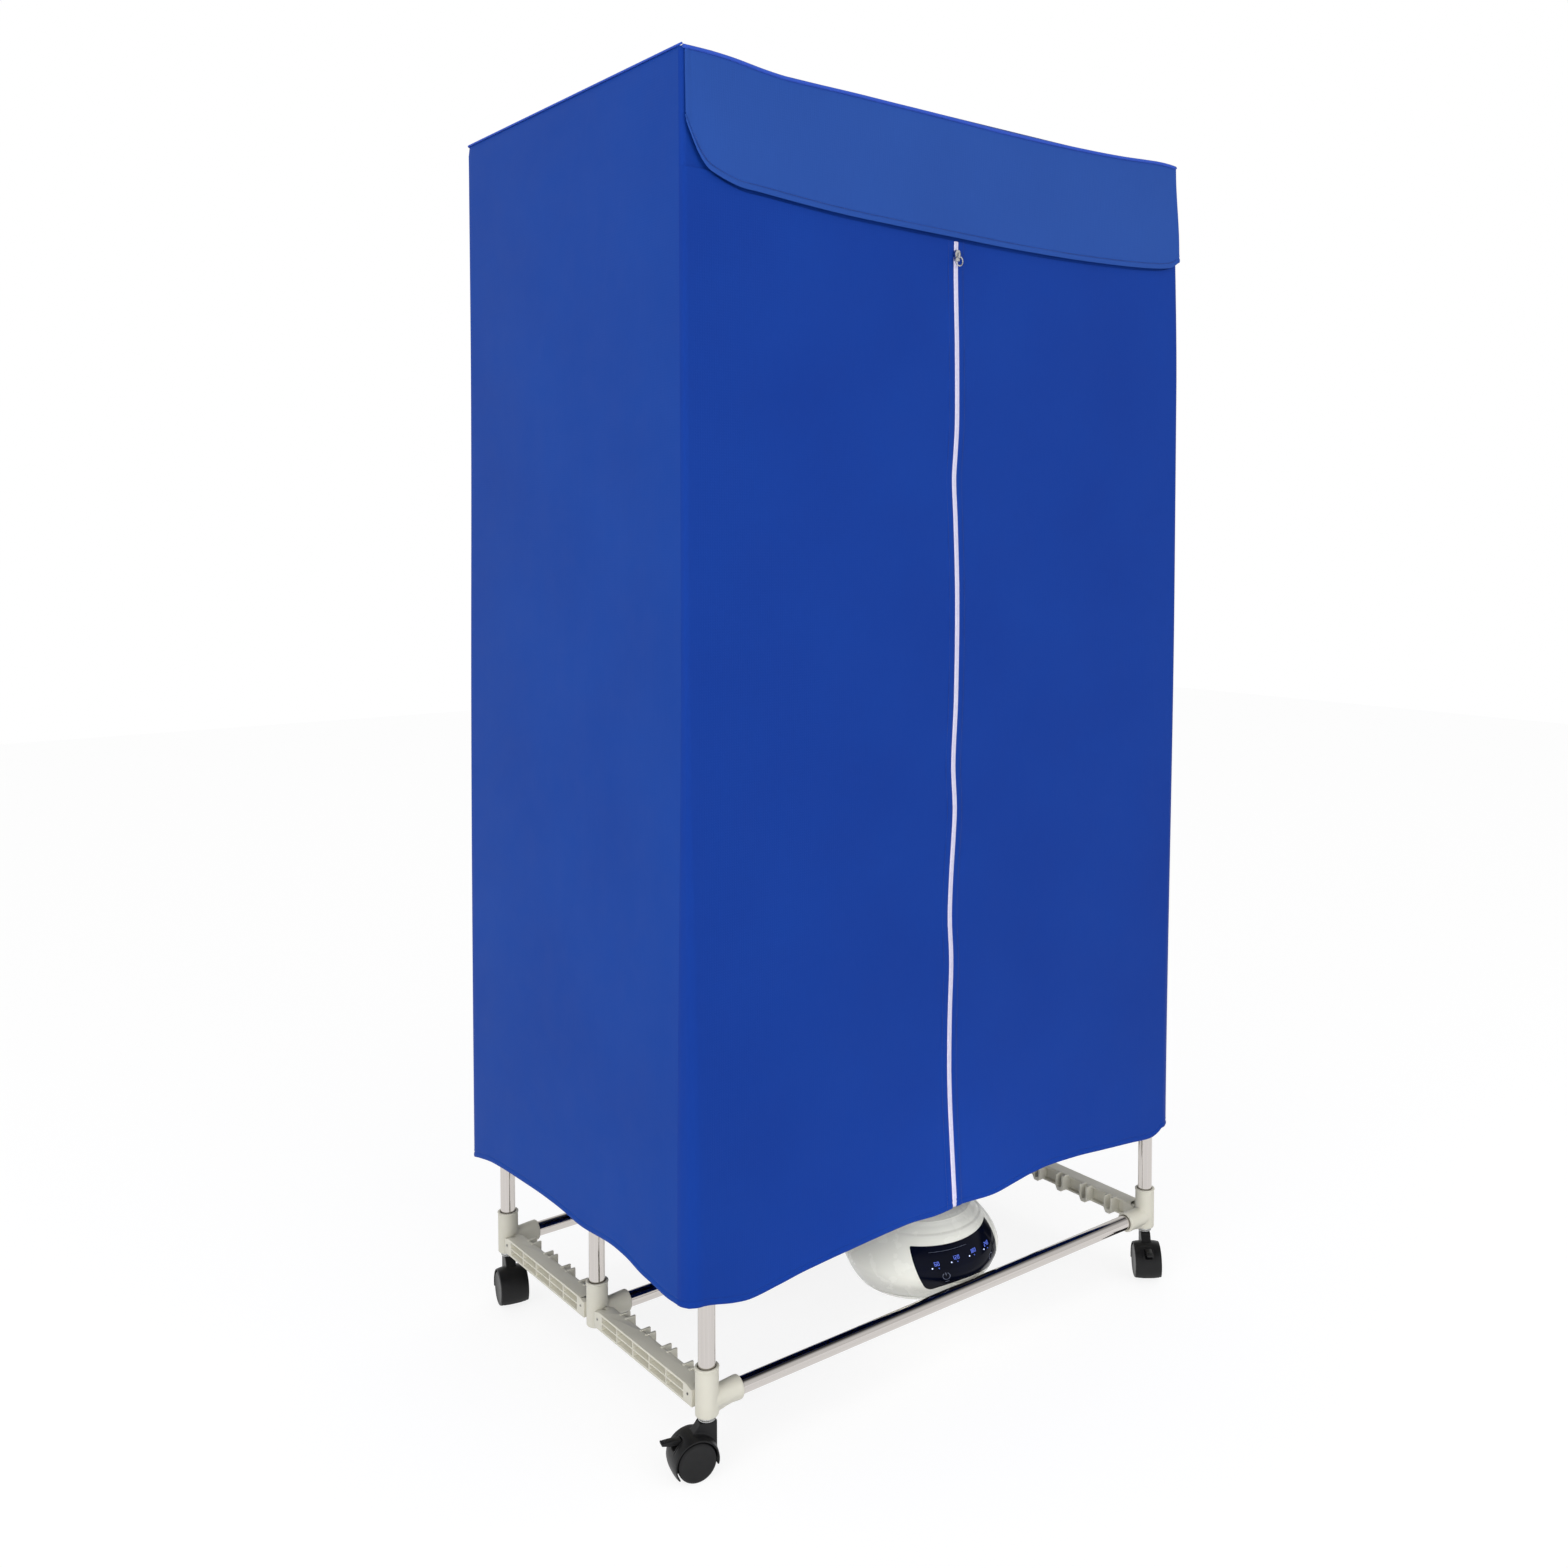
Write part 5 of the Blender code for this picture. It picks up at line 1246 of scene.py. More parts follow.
def build_top(cloth):
    """The top panel, lying on the sleeves at its corners and sagging over the tubes between them."""
    across, back = spaced(COVER_X - TOP_INSET), spaced(COVER_Y - TOP_INSET)

    def place(column, row):
        x, y = across[column], back[row]
        flat = (x, y)
        corner = CORNER_RADII[1]
        beyond = Vector((max(abs(x) - COVER_X + corner, 0), max(abs(y) - COVER_Y + corner, 0)))
        if beyond.length > corner - TOP_INSET:
            beyond *= (corner - TOP_INSET) / beyond.length
            x = (COVER_X - corner + beyond.x) * (1 if x > 0 else -1)
            y = (COVER_Y - corner + beyond.y) * (1 if y > 0 else -1)
        bays = abs(sin(2 * pi * (y + COVER_Y) / (2 * COVER_Y)))
        sag = TOP_SAG * bays * near(COVER_X - abs(x), TOP_SAG_REACH)
        from_sleeve = hypot(abs(x) - HALF_X, y + HALF_Y) - SLEEVE_RADIUS - TOP_SLEEVE_GAP
        front_fall = (COVER_TOP - top_edge(x)) * (1 - near(y + COVER_Y, TOP_FRONT_SLOPE))
        side_fall = (COVER_TOP - side_edge(y)) * (1 - near(COVER_X - x, TOP_SIDE_SLOPE))
        fall = max(sag, front_fall, side_fall) * near(from_sleeve, TOP_SLEEVE_SLOPE)
        edge = min(COVER_X - abs(x), COVER_Y - abs(y))
        height = COVER_TOP - TOP_GAP - fall - TOP_ROLL * (1 - near(edge, TOP_ROLL_REACH))
        return Vector((x - drawn_in(x, y, COVER_TOP), y, height)), flat

    mesh = woven_sheet("cover_top", len(across) - 1, len(back) - 1, place)
    top = piece("cover_top", mesh, cloth, "root", "blue_cloth", "cover_shell")


def zip_x(height):
    """The zip's wandering line down the front."""
    share = (height - HEM_LEVEL) / (COVER_TOP - HEM_LEVEL)
    return ZIP_LINE + ZIP_SWING * eased(ZIP_SWING_SHARES, share)


def flap_edge(x):
    """The flap's lower edge: nearly level, in a long curve at its left end and a small one at its right."""
    return COVER_TOP - FLAP_DROP * eased(FLAP_EDGE_SHARES, (x + COVER_X) / (2 * COVER_X))


def door_head(x):
    return min(flap_edge(x), COVER_TOP - FLAP_DROP + DOOR_HEAD_RISE) - FLAP_GAP


def door_bend(way, spread, height, row):
    """A point on a curtain's bend and its flat place; spread is 0 at the wall and 1 at the front."""
    radius = corner_radius(height)
    turn = spread * pi / 2
    out = Vector((way * cos(turn), -sin(turn), 0))
    point = Vector((way * (COVER_X - radius), -COVER_Y + radius, 0)) + out * radius
    ridge = CORNER_SEAM * bell((spread - 0.5) * radius * pi / 2, CORNER_SEAM_WIDTH)
    lean = drawn_in(point.x, -COVER_Y, height)
    flat = (way * (COVER_X + radius * (1 - spread)), height)
    return point + out * (ridge + edge_form(row)) + Vector((-lean, 0, height)), flat


def door_stand(way, x, height, from_zip, from_corner):
    """How far a curtain's face stands out: slow swells, the sewn fold beside the zip and its puckers."""
    wave = sin(height / PUCKER_PITCH + 2 * sin(height / PUCKER_DRIFT))
    pucker = PUCKER * wave * bell(from_zip - PUCKER_PLACE, PUCKER_WIDTH)
    roll = FOLD_ROLL * near(from_zip, FOLD_ROLL_REACH) * (1 - near(from_zip - FOLD_ROLL_END, FOLD_ROLL_REACH))
    roll -= FOLD_CREASE * bell(from_zip - FOLD_CREASE_PLACE, FOLD_CREASE_WIDTH)
    zip_reach, corner_reach = DOOR_CALM_REACHES
    hold = near(from_zip - DOOR_CALM_START, zip_reach) * near(from_corner, corner_reach)
    return ripple(x, height, DOOR_SEED + way) * hold + pucker + roll


def build_doors(cloth):
    """Two curtains, each from its corner's bend to the zip, with a sewn fold along the zip."""
    bend, fold = DOOR_BENDS, DOOR_BENDS + DOOR_COLUMNS
    columns = fold + len(DOOR_FOLD_MM)
    for side, way in SIDES.items():

        def place(index, row, way=way):
            column = index if way < 0 else columns - index
            if column > bend:
                guess = way * COVER_X + (ZIP_LINE - way * COVER_X) * (column - bend) / (columns - bend)
                level, head = hem_height(guess, -COVER_Y), door_head(guess)
            else:
                level = hem_height(way * COVER_X, -COVER_Y)
                head = door_head(way * (COVER_X - DOOR_HEAD_INSET))
            height = heights(level, head, DOOR_ROWS)[row]
            if column <= bend:
                return door_bend(way, column / bend, height, row)
            start = way * (COVER_X - corner_radius(height))
            edge = zip_x(height) + way * (TAPE_WIDTH / 2 - TAPE_LAP)
            if column <= fold:
                last = edge + way * DOOR_FOLD_MM[0] * MM
                x = start + (last - start) * (column - bend) / DOOR_COLUMNS
            else:
                x = edge + way * (*DOOR_FOLD_MM, 0.0)[column - fold] * MM
            stand = door_stand(way, x, height, abs(x - edge), abs(x - start)) + edge_form(row)
            return Vector((x - drawn_in(x, -COVER_Y, height), -COVER_Y - stand, height)), (x, height)

        mesh = woven_sheet(side + "_door", columns, len(EDGE_ROWS_MM) - 1 + DOOR_ROWS, place)
        door = new_object(side + "_door_cloth", mesh)
        mesh.materials.append(cloth)
        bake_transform(door)
        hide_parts(side + "_door_curtain")


def build_flap(cloth):
    """The storm flap over the doors' heads, sewn into the front top edge and hemmed all round."""

    def place(column, row):
        share = column / FLAP_COLUMNS
        ease = 0.5 - 0.5 * cos(pi * share)
        run = FLAP_EVEN_SHARE * share + (1 - FLAP_EVEN_SHARE) * ease
        x = -COVER_X + FLAP_INSET + (2 * COVER_X - FLAP_INSET - FLAP_RIGHT_INSET) * run
        high = top_edge(x) - FLAP_TOP_GAP
        height = heights(flap_edge(x), high, FLAP_ROWS)[row]
        fall = (high - height) / FLAP_DROP
        swell = ripple(x * 1.3, height * 2.0, FLAP_SEED) * near(fall, 0.5) * 0.8
        curl = FLAP_CURL * bell(x + COVER_X, FLAP_CURL_WIDTH) * near(fall, 0.6)
        from_end = min(x + COVER_X - FLAP_INSET, COVER_X - x)
        ends = edge_form(int(max(from_end, 0.0) / FLAP_END_STEP)) if row >= len(EDGE_ROWS_MM) else 0.0
        stand = FLAP_STAND * near(fall, 0.7) + swell - curl + edge_form(row) * 1.4 + ends
        return Vector((x - drawn_in(x, -COVER_Y, height), -COVER_Y - FLAP_LIFT - stand, height)), (x, height)

    mesh = woven_sheet("front_flap", FLAP_COLUMNS, len(EDGE_ROWS_MM) - 1 + FLAP_ROWS, place)
    mesh.materials.append(cloth)
    flap = new_object("front_flap_cloth", mesh)
    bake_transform(flap)
    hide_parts("front_flap")


def build_header(cloth):
    """The fixed band behind the flap, round both corners, that the curtains close against."""
    bend, wide, rows = 6, 60, 14
    low = COVER_TOP - FLAP_DROP - HEADER_LAP
    left_bend = [(-1, k / bend) for k in range(bend)]
    right_bend = [(1, 1 - k / bend) for k in range(bend + 1)]
    plans = left_bend + [(0, k / wide) for k in range(wide)] + right_bend

    def place(column, row):
        part, share = plans[column]
        radius = corner_radius(COVER_TOP)
        inner = radius - HEADER_SET_BACK * (share if part else 1)
        x = (COVER_X - radius) * (part or 2 * share - 1)
        out = Vector((0, -1, 0))
        if part:
            turn = share * pi / 2
            out = Vector((part * cos(turn), -sin(turn), 0))
        flat = x + part * radius * (1 - share)
        high = top_edge(flat) - HEADER_TOP_GAP
        height = low + (high - low) * row / rows
        x -= drawn_in(flat, -COVER_Y, height)
        return Vector((x, -COVER_Y + radius, height)) + out * inner, (flat, height)

    mesh = woven_sheet("header", len(plans) - 1, rows, place)
    band = piece("cover_header_band", mesh, cloth, "root", "blue_cloth", "cover_shell")


def cord_mesh(name, path, radius, sides=12):
    """A thin round cord along a path, its ends closed."""
    bm = bmesh.new()
    rings = []
    for k, point in enumerate(path):
        before, after = path[max(k - 1, 0)], path[min(k + 1, len(path) - 1)]
        ahead = (Vector(after) - Vector(before)).normalized()
        across = ahead.cross(Vector((0, 0, 1)) if abs(ahead.z) < 0.9 else Vector((0, 1, 0))).normalized()
        up = across.cross(ahead)
        ring = []
        for step in range(sides):
            turn = 2 * pi * step / sides
            ring.append(bm.verts.new(Vector(point) + (across * cos(turn) + up * sin(turn)) * radius))
        rings.append(ring)
    for first, second in zip(rings, rings[1:]):
        bridged(bm, first, second)
    bm.faces.new(rings[0])
    bm.faces.new(rings[-1])
    mesh = mesh_from(bm, name)
    mesh.shade_smooth()
    return mesh


def front_run(insets, count):
    """Places across the front between two insets from its corners."""
    left, right = insets
    return [-COVER_X + left + (2 * COVER_X - left - right) * k / count for k in range(count + 1)]


def build_piping(cloth):
    """Welts sewn round the top: a fat one over the flap, thinner ones on the other edges."""
    front = []
    for x in front_run(FRONT_WELT_INSETS, 120):
        sway = WELT_SWAY * noise.noise(Vector((x * 9, 0, WELT_SEED)))
        height = top_edge(x) - FRONT_WELT_DROP + sway
        front.append((x - drawn_in(x, -COVER_Y, COVER_TOP), -COVER_Y - FRONT_WELT_STAND - sway, height))
    rest = [(-COVER_X, -COVER_Y)]
    radius = CORNER_RADII[1]
    for way, turns in ((-1, (180, 90)), (1, (90, 0))):
        rest += arc((way * (COVER_X - radius), COVER_Y - radius), radius, *turns, 6)
    rest.append((COVER_X, -COVER_Y))
    ring = []
    for (x0, y0), (x1, y1) in zip(rest, rest[1:]):
        count = max(int(hypot(x1 - x0, y1 - y0) / WELT_STEP), 1)
        ring += [(x0 + (x1 - x0) * k / count, y0 + (y1 - y0) * k / count) for k in range(count)]
    ring.append(rest[-1])
    edges = []
    for x, y in ring:
        height = (side_edge(y) if x > 0 else COVER_TOP) - SIDE_WELT_DROP
        edges.append((x - drawn_in(x, y, COVER_TOP), y, height))
    for name, path, size in (("front", front, FRONT_WELT_RADIUS), ("side", edges, SIDE_WELT_RADIUS)):
        piece(name + "_top_welt", cord_mesh("welt", path, size), cloth, "root", "blue_cloth", "cover_shell")


def build_zip(tape_look, zinc, thread):
    """The zip on the left curtain: woven tape, coil of teeth, stitches beside it, slider and ring pull."""
    low, top = hem_height(ZIP_LINE, -COVER_Y) + TAPE_FOOT, door_head(0)
    rises = [low + (top - low) * k / TAPE_ROWS for k in range(TAPE_ROWS + 1)]

    def place(column, row):
        across = TAPE_COLUMNS_MM[column] * MM
        crown = TAPE_CROWN * bell(across, TAPE_CROWN_WIDTH)
        tuck = TAPE_TUCK * near(-across - TAPE_TUCK_START, TAPE_TUCK_REACH)
        point = Vector((zip_x(rises[row]) + across, -COVER_Y - TAPE_STAND - crown + tuck, rises[row]))
        return point, (across, rises[row])

    tape = woven_sheet("zip_tape", len(TAPE_COLUMNS_MM) - 1, TAPE_ROWS, place)
    tape_piece = piece("zip_tape", tape, tape_look, "left_door", "off_white_plastic")
    coils = bead_tree(tape_look)
    for k, shift in enumerate((-COIL_SHIFT, COIL_SHIFT)):
        path = [(zip_x(rise) + shift, -COVER_Y - COIL_STAND, rise) for rise in rises]
        mesh = bead_row("coil", path, coils, COIL_SIZES)
        piece(f"zip_coil_{k + 1}", mesh, tape_look, "left_door", "off_white_plastic")
    seams = bead_tree(thread)
    for side, way in SIDES.items():
        path = [(zip_x(rise) + way * DOOR_SEAM_PLACE, -COVER_Y - DOOR_SEAM_STAND, rise) for rise in rises]
        mesh = bead_row("seam", path, seams, DOOR_STITCH_SIZES)
        piece(side + "_door_seam", mesh, thread, side + "_door", "blue_cloth")
    path = []
    for x in front_run(FLAP_SEAM_INSETS, 200):
        height = flap_edge(x) + STITCH_LINE
        path.append((x - drawn_in(x, -COVER_Y, height), -COVER_Y - FLAP_STAND - FLAP_SEAM_STAND, height))
    piece("front_flap_seam", bead_row("seam", path, seams, FLAP_STITCH_SIZES), thread, "flap", "blue_cloth")
    build_slider(zinc)


def build_slider(zinc):
    """The zip's slider: a shield-shaped body, a bridge on it and a ring pull."""
    low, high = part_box("zip_slider")
    outline = [(across * SLIDER_HALF_WIDTH, up * SLIDER_LENGTH) for across, up in SLIDER_OUTLINE_SHARES]
    body = bevelled(extruded("slider", outline, -SLIDER_DEPTH, -SLIDER_BACK), SLIDER_EDGE, 3)
    corners = [[size * MM for size in corner] for corner in BRIDGE_CORNERS_MM]
    bridge = bevelled(block(*corners), BRIDGE_EDGE, 3)
    wire = arc((PULL_RADIUS, 0), PULL_WIRE_RADIUS, 0, 360, 12)[:-1]
    ring = moved(turned("ring", wire, "Y", 48), *PULL_PLACE)
    slider = joined("zip_slider", (body, bridge, ring))
    moved(slider, zip_x((low.z + high.z) / 2), -COVER_Y - SLIDER_STAND, high.z)
    piece("zip_slider_pull", smoothed(slider), zinc, "zip", "zinc_steel", "zip_slider")


# Heater: the body between its split line and the cap's seam, with heights as shares from foot to top
HEATER_X = middle("heater_outlet_cap").x
HEATER_Y = middle("heater_outlet_cap").y
HEATER_DROP = 4 * MM
HEATER_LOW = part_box("heater_base_pan")[0].z - HEATER_DROP
HEATER_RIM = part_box("heater_base_pan")[1].z
HEATER_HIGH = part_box("heater_outlet_cap")[1].z
HEATER_RADIUS = 100 * MM
HEATER_WALL = 2.5 * MM
HEATER_SIDES = 128
HEATER_PROFILE_SHARES = (
    (0.000, 0.660), (0.020, 0.735), (0.060, 0.800), (0.110, 0.848), (0.170, 0.892), (0.230, 0.930),
    (0.300, 0.965), (0.385, 0.998), (0.480, 0.985), (0.575, 0.940), (0.670, 0.870), (0.760, 0.785),
    (0.850, 0.680), (0.930, 0.520), (0.980, 0.300), (1.000, 0.000),
)
SHOULDER_SHARE = 0.775
SHOULDER_EASE_SHARE = 0.014
SHOULDER_END_SHARE = 0.84
SHOULDER_END_EASE_SHARE = 0.04
SHOULDER_STEP = 1.3 * MM
SPLIT_SHARE = 0.10
SPLIT_GAP_SHARE = 0.004
SEAM_SHARE = 0.882
SEAM_GAP_SHARE = 0.006
SEAM_LAP_SHARE = 0.03
SEAM_GROOVE = 0.6 * MM
MOULD_EDGE = 0.35 * MM

# Heater's clips on the tubes, and its gland
GRIP_GAP = 0.3 * MM
HOOK_WALL = 3.2 * MM
HOOK_LIP = 4 * MM
HOOK_PLACE = 35 * MM
HOOK_WIDTH = 14 * MM
HOOK_ROOT_SHARE = 0.40
HOOK_ROOT_DEPTH = 5 * MM
HOOK_ROOT_RISE = 5 * MM
CRADLE_WALL = 2.2 * MM
CRADLE_DEPTH = 16 * MM
CRADLE_RISE = 4 * MM
CRADLE_DROP = 2 * MM
CRADLE_WIDTH = 50 * MM
CLIP_EDGE = 0.6 * MM
GLAND_SHARE = 0.45
GLAND_MM = (
    (3.2, -6.0), (6.2, -6.0), (6.2, 3.0), (5.6, 3.6), (5.6, 5.0), (5.2, 5.6), (5.2, 7.0), (4.8, 7.6),
    (4.8, 12.0), (3.2, 12.0),
)

# Heater's cap and pan
CAP_GAP = 0.3 * MM
CAP_SKIRT = 3 * MM
OUTLET_SLOTS = 5
OUTLET_PITCH = 12 * MM
OUTLET_RADIUS = 36 * MM
OUTLET_INSET = 3 * MM
OUTLET_HALF_WIDTH = 3 * MM
OUTLET_DEPTH = 25 * MM
PAN_GAP = 0.3 * MM
PAN_INNER_SHARE = 0.03
VENTS = 6
VENT_PLACE = 34 * MM
VENT_HALF_WIDTH = 2 * MM
VENT_REACH = 13 * MM

# Touch panel
PANEL_TURN = radians(-3.5)
PANEL_SPREAD_DEGREES = 32
PANEL_FLARE_DEGREES = 14
PANEL_LOW_SHARE = 0.300
PANEL_LOW_BOW_SHARES = (0.090, 0.050)
PANEL_HIGH_SHARE = 0.712
PANEL_HIGH_TILT_SHARE = 0.018
PANEL_HIGH_BOW_SHARE = 0.012
PANEL_LOW_CORNER_SHARES = (0.15, 0.16)
PANEL_HIGH_CORNER_SHARES = (0.03, 0.05, 0.95)
PANEL_COLUMNS = 48
PANEL_ROWS = 30
PANEL_DEPTHS = (-0.6 * MM, 0.45 * MM)
PANEL_EDGE = 0.3 * MM
SLOPE_STEP_SHARE = 0.01

# Prints on the panel: places across and up it, and sizes against its half width and height laid flat
PANEL_FLAT_MM = (67.0, 54.0)
PRINT_THICKNESS = 0.10 * MM
PRINT_DEPTHS = (0.40 * MM, PANEL_DEPTHS[1] + PRINT_THICKNESS)
PRINT_MERGE_GAP = 0.005 * MM
HOURS_MM = 4.8
HOURS_SHARES = {"60": (-0.60, 0.62), "120": (-0.22, 0.67), "180": (0.17, 0.68), "240": (0.57, 0.66)}
LAMP_MM = 1.7
LAMP_SHIFT_SHARES = (-0.11, -0.085)
ICON_MM = 1.9
ICON_SHIFT_SHARES = (0.01, -0.105)
POWER_MM = 11.0
POWER_SHARES = (-0.50, 0.28)
POWER_LINE_MM = 6.0
POWER_LINE_SHARES = (-0.50, 0.12)
MODE_MM = 9.0
MODE_SHARES = (0.68, 0.33)
TOP_LINE_MM = 1.0
TOP_LINE_SHARES = (0.0, 0.87)
DIGIT_STROKES = {"0": "abcdef", "1": "bc", "2": "abged", "4": "fgbc", "6": "afgecd", "8": "abcdefg"}
DIGIT_WIDTH_SHARE = 0.5
DIGIT_LINE_SHARE = 0.1
DIGIT_STEP_SHARE = 0.72


def heater_radius(share):
    return HEATER_RADIUS * max(eased(HEATER_PROFILE_SHARES, share), 0.0)


def heater_height(share):
    return HEATER_LOW + (HEATER_HIGH - HEATER_LOW) * share


def skin(low, high, steps, inset=0.0):
    """Points (radius, height) up the heater's outside between two shares, moved in by inset."""
    points = []
    for k in range(steps + 1):
        share = low + (high - low) * k / steps
        ledge = SHOULDER_STEP * near(share - SHOULDER_SHARE, SHOULDER_EASE_SHARE)
        ledge *= 1 - near(share - SHOULDER_END_SHARE, SHOULDER_END_EASE_SHARE)
        points.append((max(heater_radius(share) - inset - ledge, 0.0), heater_height(share)))
    return points


def tube_clips():
    """Two hooks over the middle tube, and a cradle behind the front one."""
    mid_y, front_y = -HEATER_Y, -HALF_Y - HEATER_Y
    tube_z = middle("base_front_tube").z
    grip = TUBE_RADIUS + GRIP_GAP
    outside = grip + HOOK_WALL
    root_y = heater_radius(HOOK_ROOT_SHARE) - HOOK_ROOT_DEPTH
    claw = arc((mid_y, tube_z), grip, 170, 0, 14)
    claw += [(mid_y + grip, tube_z - HOOK_LIP), (mid_y + outside, tube_z - HOOK_LIP)]
    claw += arc((mid_y, tube_z), outside, 0, 115, 12)
    claw += [(root_y, tube_z + outside + HOOK_ROOT_RISE), (root_y, tube_z)]
    clips = []
    for centre in (-HOOK_PLACE, HOOK_PLACE):
        clips.append(extruded("hook", claw, centre - HOOK_WIDTH / 2, centre + HOOK_WIDTH / 2, "X"))
    back_y = front_y + CRADLE_DEPTH
    cradle = arc((front_y, tube_z), grip, -75, 30, 12)
    cradle += [(back_y, tube_z + grip + CRADLE_RISE), (back_y, tube_z - CRADLE_DROP)]
    cradle += arc((front_y, tube_z), grip + CRADLE_WALL, -10, -75, 8)
    clips.append(extruded("cradle", cradle, -CRADLE_WIDTH / 2, CRADLE_WIDTH / 2, "X"))
    return [bevelled(clip, CLIP_EDGE) for clip in clips]


def cable_gland():
    """The stepped gland in the middle of the body's back."""
    reach = heater_radius(GLAND_SHARE)
    profile = [(radius * MM, reach + out * MM) for radius, out in GLAND_MM]
    return moved(turned("gland", profile, "Y", 48), 0, 0, heater_height(GLAND_SHARE))


def body_outside():
    return skin(SPLIT_SHARE + SPLIT_GAP_SHARE, SEAM_SHARE - SEAM_GAP_SHARE, 110)


def body_shell():
    """The round body, open for the cap and the pan, with a groove round the cap."""
    outer = body_outside()
    inner = skin(SPLIT_SHARE + SPLIT_GAP_SHARE, SEAM_SHARE - SEAM_LAP_SHARE, 20, HEATER_WALL)
    rim, rim_z = outer[-1]
    lip = [(rim - SEAM_GROOVE, rim_z + SEAM_GROOVE), (rim - 2 * HEATER_WALL, rim_z - SEAM_GROOVE)]
    return turned("heater_shell", outer + lip + list(reversed(inner)), "Z", HEATER_SIDES)


def outlet_cap():
    """The domed cap inside the seam, slotted for the warm air."""
    wall = HEATER_WALL
    dome = skin(SEAM_SHARE, 1.0, 24)
    rim = body_outside()[-1][0] - CAP_GAP
    dome[0] = (rim, dome[0][1])
    under = [(radius - wall, height - wall) for radius, height in skin(SEAM_SHARE, 1.0, 16) if radius > wall]
    under.append((0.0, HEATER_HIGH - wall))
    foot = heater_height(SEAM_SHARE) - CAP_SKIRT
    cap = turned("cap", [(rim - wall, foot), (rim, foot), *dome, *reversed(under[1:])], "Z", HEATER_SIDES)
    slots = []
    for k in range(OUTLET_SLOTS):
        x = (k - (OUTLET_SLOTS - 1) / 2) * OUTLET_PITCH
        reach = (OUTLET_RADIUS ** 2 - x ** 2) ** 0.5 - OUTLET_INSET
        low, high = HEATER_HIGH - OUTLET_DEPTH, HEATER_HIGH + CUT_OVERRUN
        slots.append(rounded_slot(x, OUTLET_HALF_WIDTH, reach, low, high))
    return bevelled(carved(cap, [], slots), MOULD_EDGE, 2, 40)


def base_pan():
    """The pan under the split line: a collar that plugs into the body, and a ring of intake slots."""
    wall = HEATER_WALL
    outer = skin(0, SPLIT_SHARE - SPLIT_GAP_SHARE, 14)
    inner = skin(PAN_INNER_SHARE, SPLIT_SHARE - SPLIT_GAP_SHARE, 10, wall)
    neck, edge = outer[-1][0] - wall - PAN_GAP, outer[-1][1]
    collar = [(neck, edge), (neck, HEATER_RIM), (neck - wall, HEATER_RIM), (neck - wall, edge)]
    outline = [(0, HEATER_LOW), *outer, *collar, *reversed(inner[:-1]), (0, HEATER_LOW + wall)]
    pan = turned("pan", outline, "Z", HEATER_SIDES)
    slots = []
    for k in range(VENTS):
        slot = rounded_slot(0, VENT_HALF_WIDTH, VENT_REACH, HEATER_LOW - CUT_OVERRUN, HEATER_LOW + 2 * wall)
        slot.transform(Matrix.Rotation(k * 2 * pi / VENTS, 4, "Z") @ Matrix.Translation((0, VENT_PLACE, 0)))
        slots.append(slot)
    return bevelled(carved(pan, [], slots), MOULD_EDGE, 2, 40)


def rounded_slot(x, half, reach, low, high):
    """A cutter for a round-ended slot along Y."""
    outline = arc((x, reach - half), half, 0, 180, 10) + arc((x, half - reach), half, 180, 360, 10)
    return extruded("slot", outline, low, high, "Z")


def build_heater(shell_look, *panel_looks):
    place = Matrix.Translation((HEATER_X, HEATER_Y, 0))
    body = smoothed(joined("heater_body", [*tube_clips(), cable_gland(), body_shell()]))
    parts = (("shell", body, "body"), ("cap", outlet_cap(), "outlet_cap"), ("pan", base_pan(), "base_pan"))
    for name, mesh, node in parts:
        mesh = placed(mesh, place)
        piece("heater_" + name, mesh, shell_look, "root", "off_white_plastic", "heater_" + node)
    build_panel(*panel_looks)


def panel_point(across, up, depth):
    """A point of the touch panel, from -1 to 1 across and 0 to 1 up, off the heater's skin by depth."""
    left_bow, right_bow = PANEL_LOW_BOW_SHARES
    low = PANEL_LOW_SHARE - (left_bow if across < 0 else right_bow) * across ** 2
    high = PANEL_HIGH_SHARE + PANEL_HIGH_TILT_SHARE * across - PANEL_HIGH_BOW_SHARE * (1 - across ** 2)
    share = low + (high - low) * up
    angle = PANEL_TURN + across * radians(PANEL_SPREAD_DEGREES + PANEL_FLARE_DEGREES * up)
    below, above = share - SLOPE_STEP_SHARE, share + SLOPE_STEP_SHARE
    slope = (heater_radius(above) - heater_radius(below)) / (heater_height(above) - heater_height(below))
    out = Vector((sin(angle), -cos(angle), -slope)).normalized()
    radius = heater_radius(share)
    place = Vector((HEATER_X + radius * sin(angle), HEATER_Y - radius * cos(angle), heater_height(share)))
    return place + out * depth


def rounding(share):
    """How far a rounded corner draws in: 0 where it starts, 1 at its end."""
    share = min(max(share, 0.0), 1.0)
    return 1 - (1 - share ** 2) ** 0.5


